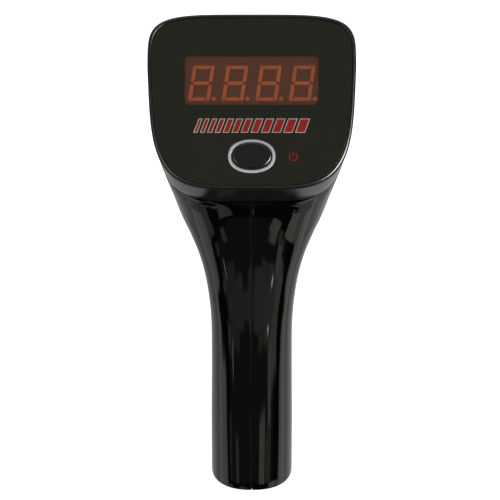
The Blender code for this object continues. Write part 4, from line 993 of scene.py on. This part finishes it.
# Bands up a cell: where each starts, its colour, and whether it is bare metal
SLEEVE = (
    (0.0, CAN, 1), (0.035, (0.015, 0.015, 0.015), 0), (0.62, (0.5, 0.22, 0.08), 0), (0.95, CAN, 1),
)
cell_finish = moulded("cell_sleeve", (0.02, 0.02, 0.02), 0.28, grain=900, relief=0.004)
cell_nodes, cell_links = cell_finish.node_tree.nodes, cell_finish.node_tree.links
along_cell = cell_nodes.new("ShaderNodeSeparateXYZ")
cell_links.new(cell_nodes["Texture Coordinate"].outputs["Generated"], along_cell.inputs[0])
for channel in ("Base Color", "Metallic"):
    bands = cell_nodes.new("ShaderNodeValToRGB")
    bands.color_ramp.interpolation = "CONSTANT"
    while len(bands.color_ramp.elements) < len(SLEEVE):
        bands.color_ramp.elements.new(0.5)
    for stop, (start, colour, bare) in zip(bands.color_ramp.elements, SLEEVE):
        stop.position = start
        stop.color = (*(colour if channel == "Base Color" else (bare,) * 3), 1)
    cell_links.new(along_cell.outputs["Z"], bands.inputs[0])
    cell_links.new(bands.outputs[0], cell_nodes["Principled BSDF"].inputs[channel])
reassigned(cell_finish, "battery_lower", "battery_upper")
nickel = metal("nickel_plate", (0.66, 0.63, 0.56), 0.24)
reassigned(nickel, "door_contact", "upper_contact", "negative_contact")

COIL_FOOT_RADIUS, COIL_TOP_RADIUS = 7.6, 3.4
COIL_FOOT, COIL_TOP, COIL_Y = 3.9, 8.45, -3.6
COIL_TURNS, COIL_WIRE = 3.2, 0.4
COIL_STEPS, WIRE_SIDES = 160, 12
coil = bmesh.new()
coil_rows = []
for i in range(COIL_STEPS + 1):
    share = i / COIL_STEPS
    a = 2 * math.pi * COIL_TURNS * share
    outward = Vector((math.cos(a), math.sin(a), 0))
    radius = COIL_FOOT_RADIUS + (COIL_TOP_RADIUS - COIL_FOOT_RADIUS) * share
    middle = outward * radius + Vector((0, COIL_Y, COIL_FOOT + (COIL_TOP - COIL_FOOT) * share))
    row = []
    for t in (2 * math.pi * k / WIRE_SIDES for k in range(WIRE_SIDES)):
        off_middle = outward * math.cos(t) + Vector((0, 0, math.sin(t)))
        row.append(coil.verts.new(middle + COIL_WIRE * off_middle))
    coil_rows.append(row)
for one, two in zip(coil_rows, coil_rows[1:]):
    for i in range(WIRE_SIDES):
        coil.faces.new((one[i - 1], one[i], two[i], two[i - 1]))
coil.faces.new(coil_rows[0])
coil.faces.new(coil_rows[-1])
bmesh.ops.recalc_face_normals(coil, faces=coil.faces)
dressed(drawn("cell_spring", coil), nickel, "battery_door", "contact_metal", "battery_spring")


# Battery door: a satin black nylon plate in the base with thumb grooves, hinged on a steel pin at its
# front and held by a snap at its rear.
def block(name, ends):
    """A closed block between two outlines of equal counts."""
    bm = bmesh.new()
    low, high = ([bm.verts.new(point) for point in end] for end in ends)
    bm.faces.new(low)
    bm.faces.new(high)
    for i in range(len(low)):
        bm.faces.new((low[i - 1], low[i], high[i], high[i - 1]))
    bmesh.ops.recalc_face_normals(bm, faces=bm.faces)
    return drawn(name, bm)


def prism(name, outline, low, high):
    """A block with this outline seen from above."""
    return block(name, [[(x, y, z) for x, y in outline] for z in (low, high)])


def bar_across(name, outline, half):
    """A block that runs across the gun, with this outline seen from the side."""
    return block(name, [[(x, y, z) for y, z in outline] for x in (-half, half)])


def box_outline(low, high):
    return [(low[0], low[1]), (high[0], low[1]), (high[0], high[1]), (low[0], high[1])]


DOOR_PIN, DOOR_BORE = (16.0, 2.4), 1.05
DOOR_THICK, DOOR_EDGE = 2.2, 0.25
DOOR_INSET = WALL + 0.5
# The plate ends in a slope before the hinge, and is cut off beyond it
DOOR_SLOPE = DOOR_END - 1.4
CUT_LOW, CUT_HIGH, CUT_FRONT, CUT_HALF = -1, 3, 30, 40
KNUCKLE_RADIUS, KNUCKLE_HALF = 2.2, 5.4
DOOR_NECK = (DOOR_END - 3, 0.2), (DOOR_PIN[0], DOOR_THICK - 0.1)
DOOR_SNAP = (
    (-16.8, 2.0), (-15.6, 2.0), (-15.6, 6.1), (-15.9, 6.4), (-16.4, 6.4), (-16.8, 5.4),
)
SNAP_HALF = 4.0
THUMB_GROOVES = (-14.6, -12.6, -10.6, -8.6)
THUMB_GROOVE, THUMB_CORNER, THUMB_STEPS, THUMB_DEEP = (15.0, 1.0), 0.45, 5, 0.5
BORE_HALF = 12
door = prism("door_plate", [(p.x, p.y) for p in ring(base_section(0), DOOR_INSET)], 0, DOOR_THICK)
door_end = [
    (DOOR_END, CUT_LOW), (CUT_FRONT, CUT_LOW), (CUT_FRONT, CUT_HIGH),
    (DOOR_SLOPE, CUT_HIGH), (DOOR_SLOPE, DOOR_THICK), (DOOR_END, 0),
]
grooves = [
    prism("groove", round_rect(THUMB_GROOVE, THUMB_CORNER, y, THUMB_STEPS), CUT_LOW, THUMB_DEEP)
    for y in THUMB_GROOVES
]
carved(door, "DIFFERENCE", bar_across("door_end", door_end, CUT_HALF), *grooves)
applied(softened(door, DOOR_EDGE))
carved(
    door, "UNION",
    bar_across("door_neck", box_outline(*DOOR_NECK), KNUCKLE_HALF),
    bar_across("door_knuckle", disc(*DOOR_PIN, KNUCKLE_RADIUS), KNUCKLE_HALF),
    bar_across("door_snap", DOOR_SNAP, SNAP_HALF),
)
carved(door, "DIFFERENCE", bar_across("door_bore", disc(*DOOR_PIN, DOOR_BORE), BORE_HALF))
satin_black = moulded("satin_black_nylon", (0.016, 0.016, 0.0165), 0.36, grain=2200, relief=0.02)
dressed(door, satin_black, "battery_door", "satin_black", "battery_door")
steel = metal("bright_steel", (0.55, 0.55, 0.54), 0.26)
reassigned(steel, "door_pin")

# Trigger: a satin black nylon lever with a finger hollow, hung on a steel pin in the front of the
# grip. A coil spring over its rear arm pushes it out, and its nub works the switch behind it.
TRIGGER_PIN = Vector((34.0, NECK - 12.9))
TRIGGER_HALF = 4.7
TRIGGER_EDGE, TRIGGER_EDGE_STEPS = 0.9, 4
TRIGGER_BORE = 1.55
HUB_RADIUS, HUB_EDGE = 3.2, 0.3
# Outlines about the pin, as y and z seen from the side
ARM, ARM_HALF, ARM_EDGE = ((-13, 4.4), (1, 7)), 3.0, 0.4
RISER = (-2.2, 1), (1, 6)
NUB, NUB_HALF = ((-7.2, -6), (-2, -3.4)), 2.4
BLADE = (
    (-3, -1), (-4, -6), (-4.2, -10), (-3, -16), (-0.2, -23.2), (1, -24.6), (3, -24.8), (4, -23.4),
    (2.6, -19), (2.1, -14.5), (2.6, -9.5), (3.6, -4.5), (3.2, 0), (0, 2),
)


def eased_loop(points, steps=6):
    """A closed curve eased through the points."""
    loop = []
    for i in range(len(points)):
        a, b, c, d = (Vector(points[(i + k) % len(points)]) for k in (-1, 0, 1, 2))
        for t in (step / steps for step in range(steps)):
            bend = (2 * a - 5 * b + 4 * c - d) * t**2 + (3 * b - a - 3 * c + d) * t**3
            loop.append(b + ((c - a) * t + bend) / 2)
    return loop


def about_pin(low, high):
    return box_outline(TRIGGER_PIN + Vector(low), TRIGGER_PIN + Vector(high))


blade = bar_across("trigger_lever", [TRIGGER_PIN + p for p in eased_loop(BLADE)], TRIGGER_HALF)
lever = applied(softened(blade, TRIGGER_EDGE, TRIGGER_EDGE_STEPS))
arm = applied(softened(bar_across("trigger_arm", about_pin(*ARM), ARM_HALF), ARM_EDGE))
round_hub = bar_across("trigger_hub", disc(*TRIGGER_PIN, HUB_RADIUS), TRIGGER_HALF)
hub = applied(softened(round_hub, HUB_EDGE))
riser = bar_across("trigger_riser", about_pin(*RISER), ARM_HALF)
nub = bar_across("trigger_nub", about_pin(*NUB), NUB_HALF)
carved(lever, "UNION", hub, riser, arm, nub)
carved(lever, "DIFFERENCE", bar_across("trigger_bore", disc(*TRIGGER_PIN, TRIGGER_BORE), BORE_HALF))
dressed(lever, satin_black, "trigger", "satin_black", "trigger")
reassigned(steel, "trigger_pin", "trigger_spring")

# Fasteners: four pan-head screws with cross recesses join the halves from the left. The bezel's and
# the board's screws sit hidden behind the panel and the display.
SCREW_HEAD, SCREW_SHANK = 2.1, 1.25
SCREW_CORE = SCREW_SHANK - 0.2
HEAD_TOP, HEAD_SEAT, SCREW_END = -7.9, -SCREW_SEAT - 0.3, 8.5
HEAD_DOME = ((1.0, 0.0), (1.6, 0.1), (1.95, 0.4), (SCREW_HEAD, 0.8))
POINT_RADIUS, POINT_LONG = 0.3, 1.2
THREAD_START, THREAD_STEP = -1.0, 0.8
CREST_START, CREST_END = 0.3, 0.4
RECESS_LONG, RECESS_WIDE = 1.2, 0.26
RECESS_TOP, RECESS_FOOT = -9, -6.9


def turned_across(name, profile, y, z, sides=36):
    """A round piece across the gun, from its radii along x."""
    bm = bmesh.new()
    turns = [2 * math.pi * i / sides for i in range(sides)]
    rows = [
        [bm.verts.new((x, y + radius * math.cos(a), z + radius * math.sin(a))) for a in turns]
        for radius, x in profile
    ]
    for one, two in zip(rows, rows[1:]):
        for i in range(sides):
            bm.faces.new((one[i - 1], one[i], two[i], two[i - 1]))
    bm.faces.new(rows[0])
    bm.faces.new(rows[-1])
    bmesh.ops.recalc_face_normals(bm, faces=bm.faces)
    return drawn(name, bm)


screw_profile = [(radius, HEAD_TOP + drop) for radius, drop in HEAD_DOME]
screw_profile += [(SCREW_HEAD, HEAD_SEAT), (SCREW_CORE, HEAD_SEAT)]
thread = THREAD_START
while thread < SCREW_END - POINT_LONG:
    crest = [(SCREW_SHANK, thread + CREST_START), (SCREW_SHANK, thread + CREST_END)]
    screw_profile += [(SCREW_CORE, thread), *crest]
    thread += THREAD_STEP
screw_profile += [(SCREW_CORE, thread), (POINT_RADIUS, SCREW_END)]
black_steel = metal("black_steel", (0.07, 0.07, 0.07), 0.34)
for i, (y, z) in enumerate(SHELL_SCREWS, 1):
    screw = turned_across(f"housing_screw_{i}", screw_profile, y, z)
    recesses = []
    for wide, high in ((RECESS_LONG, RECESS_WIDE), (RECESS_WIDE, RECESS_LONG)):
        outline = box_outline((RECESS_TOP, y - wide), (RECESS_FOOT, y + wide))
        recesses.append(prism("recess", outline, z - high, z + high))
    carved(screw, "DIFFERENCE", *recesses)
    dressed(screw, black_steel, "gun", "screw_steel", f"shell_screw_{i}")
reassigned(black_steel, *(f"{kind}_screw_{i}" for kind in ("bezel", "board") for i in range(1, 5)))

# Leads: stranded copper wires in coloured vinyl sheaths, soldered to the board and run to the cells'
# contacts, the trigger switch and the radar.
for name, colour in (
    ("positive_lead", (0.38, 0.02, 0.015)), ("negative_lead", (0.012, 0.012, 0.013)),
    ("trigger_lead", (0.5, 0.36, 0.03)), ("radar_lead", (0.22, 0.22, 0.23)),
):
    reassigned(moulded(f"{name}_sheath", colour, 0.42, grain=2400, relief=0.008), name)
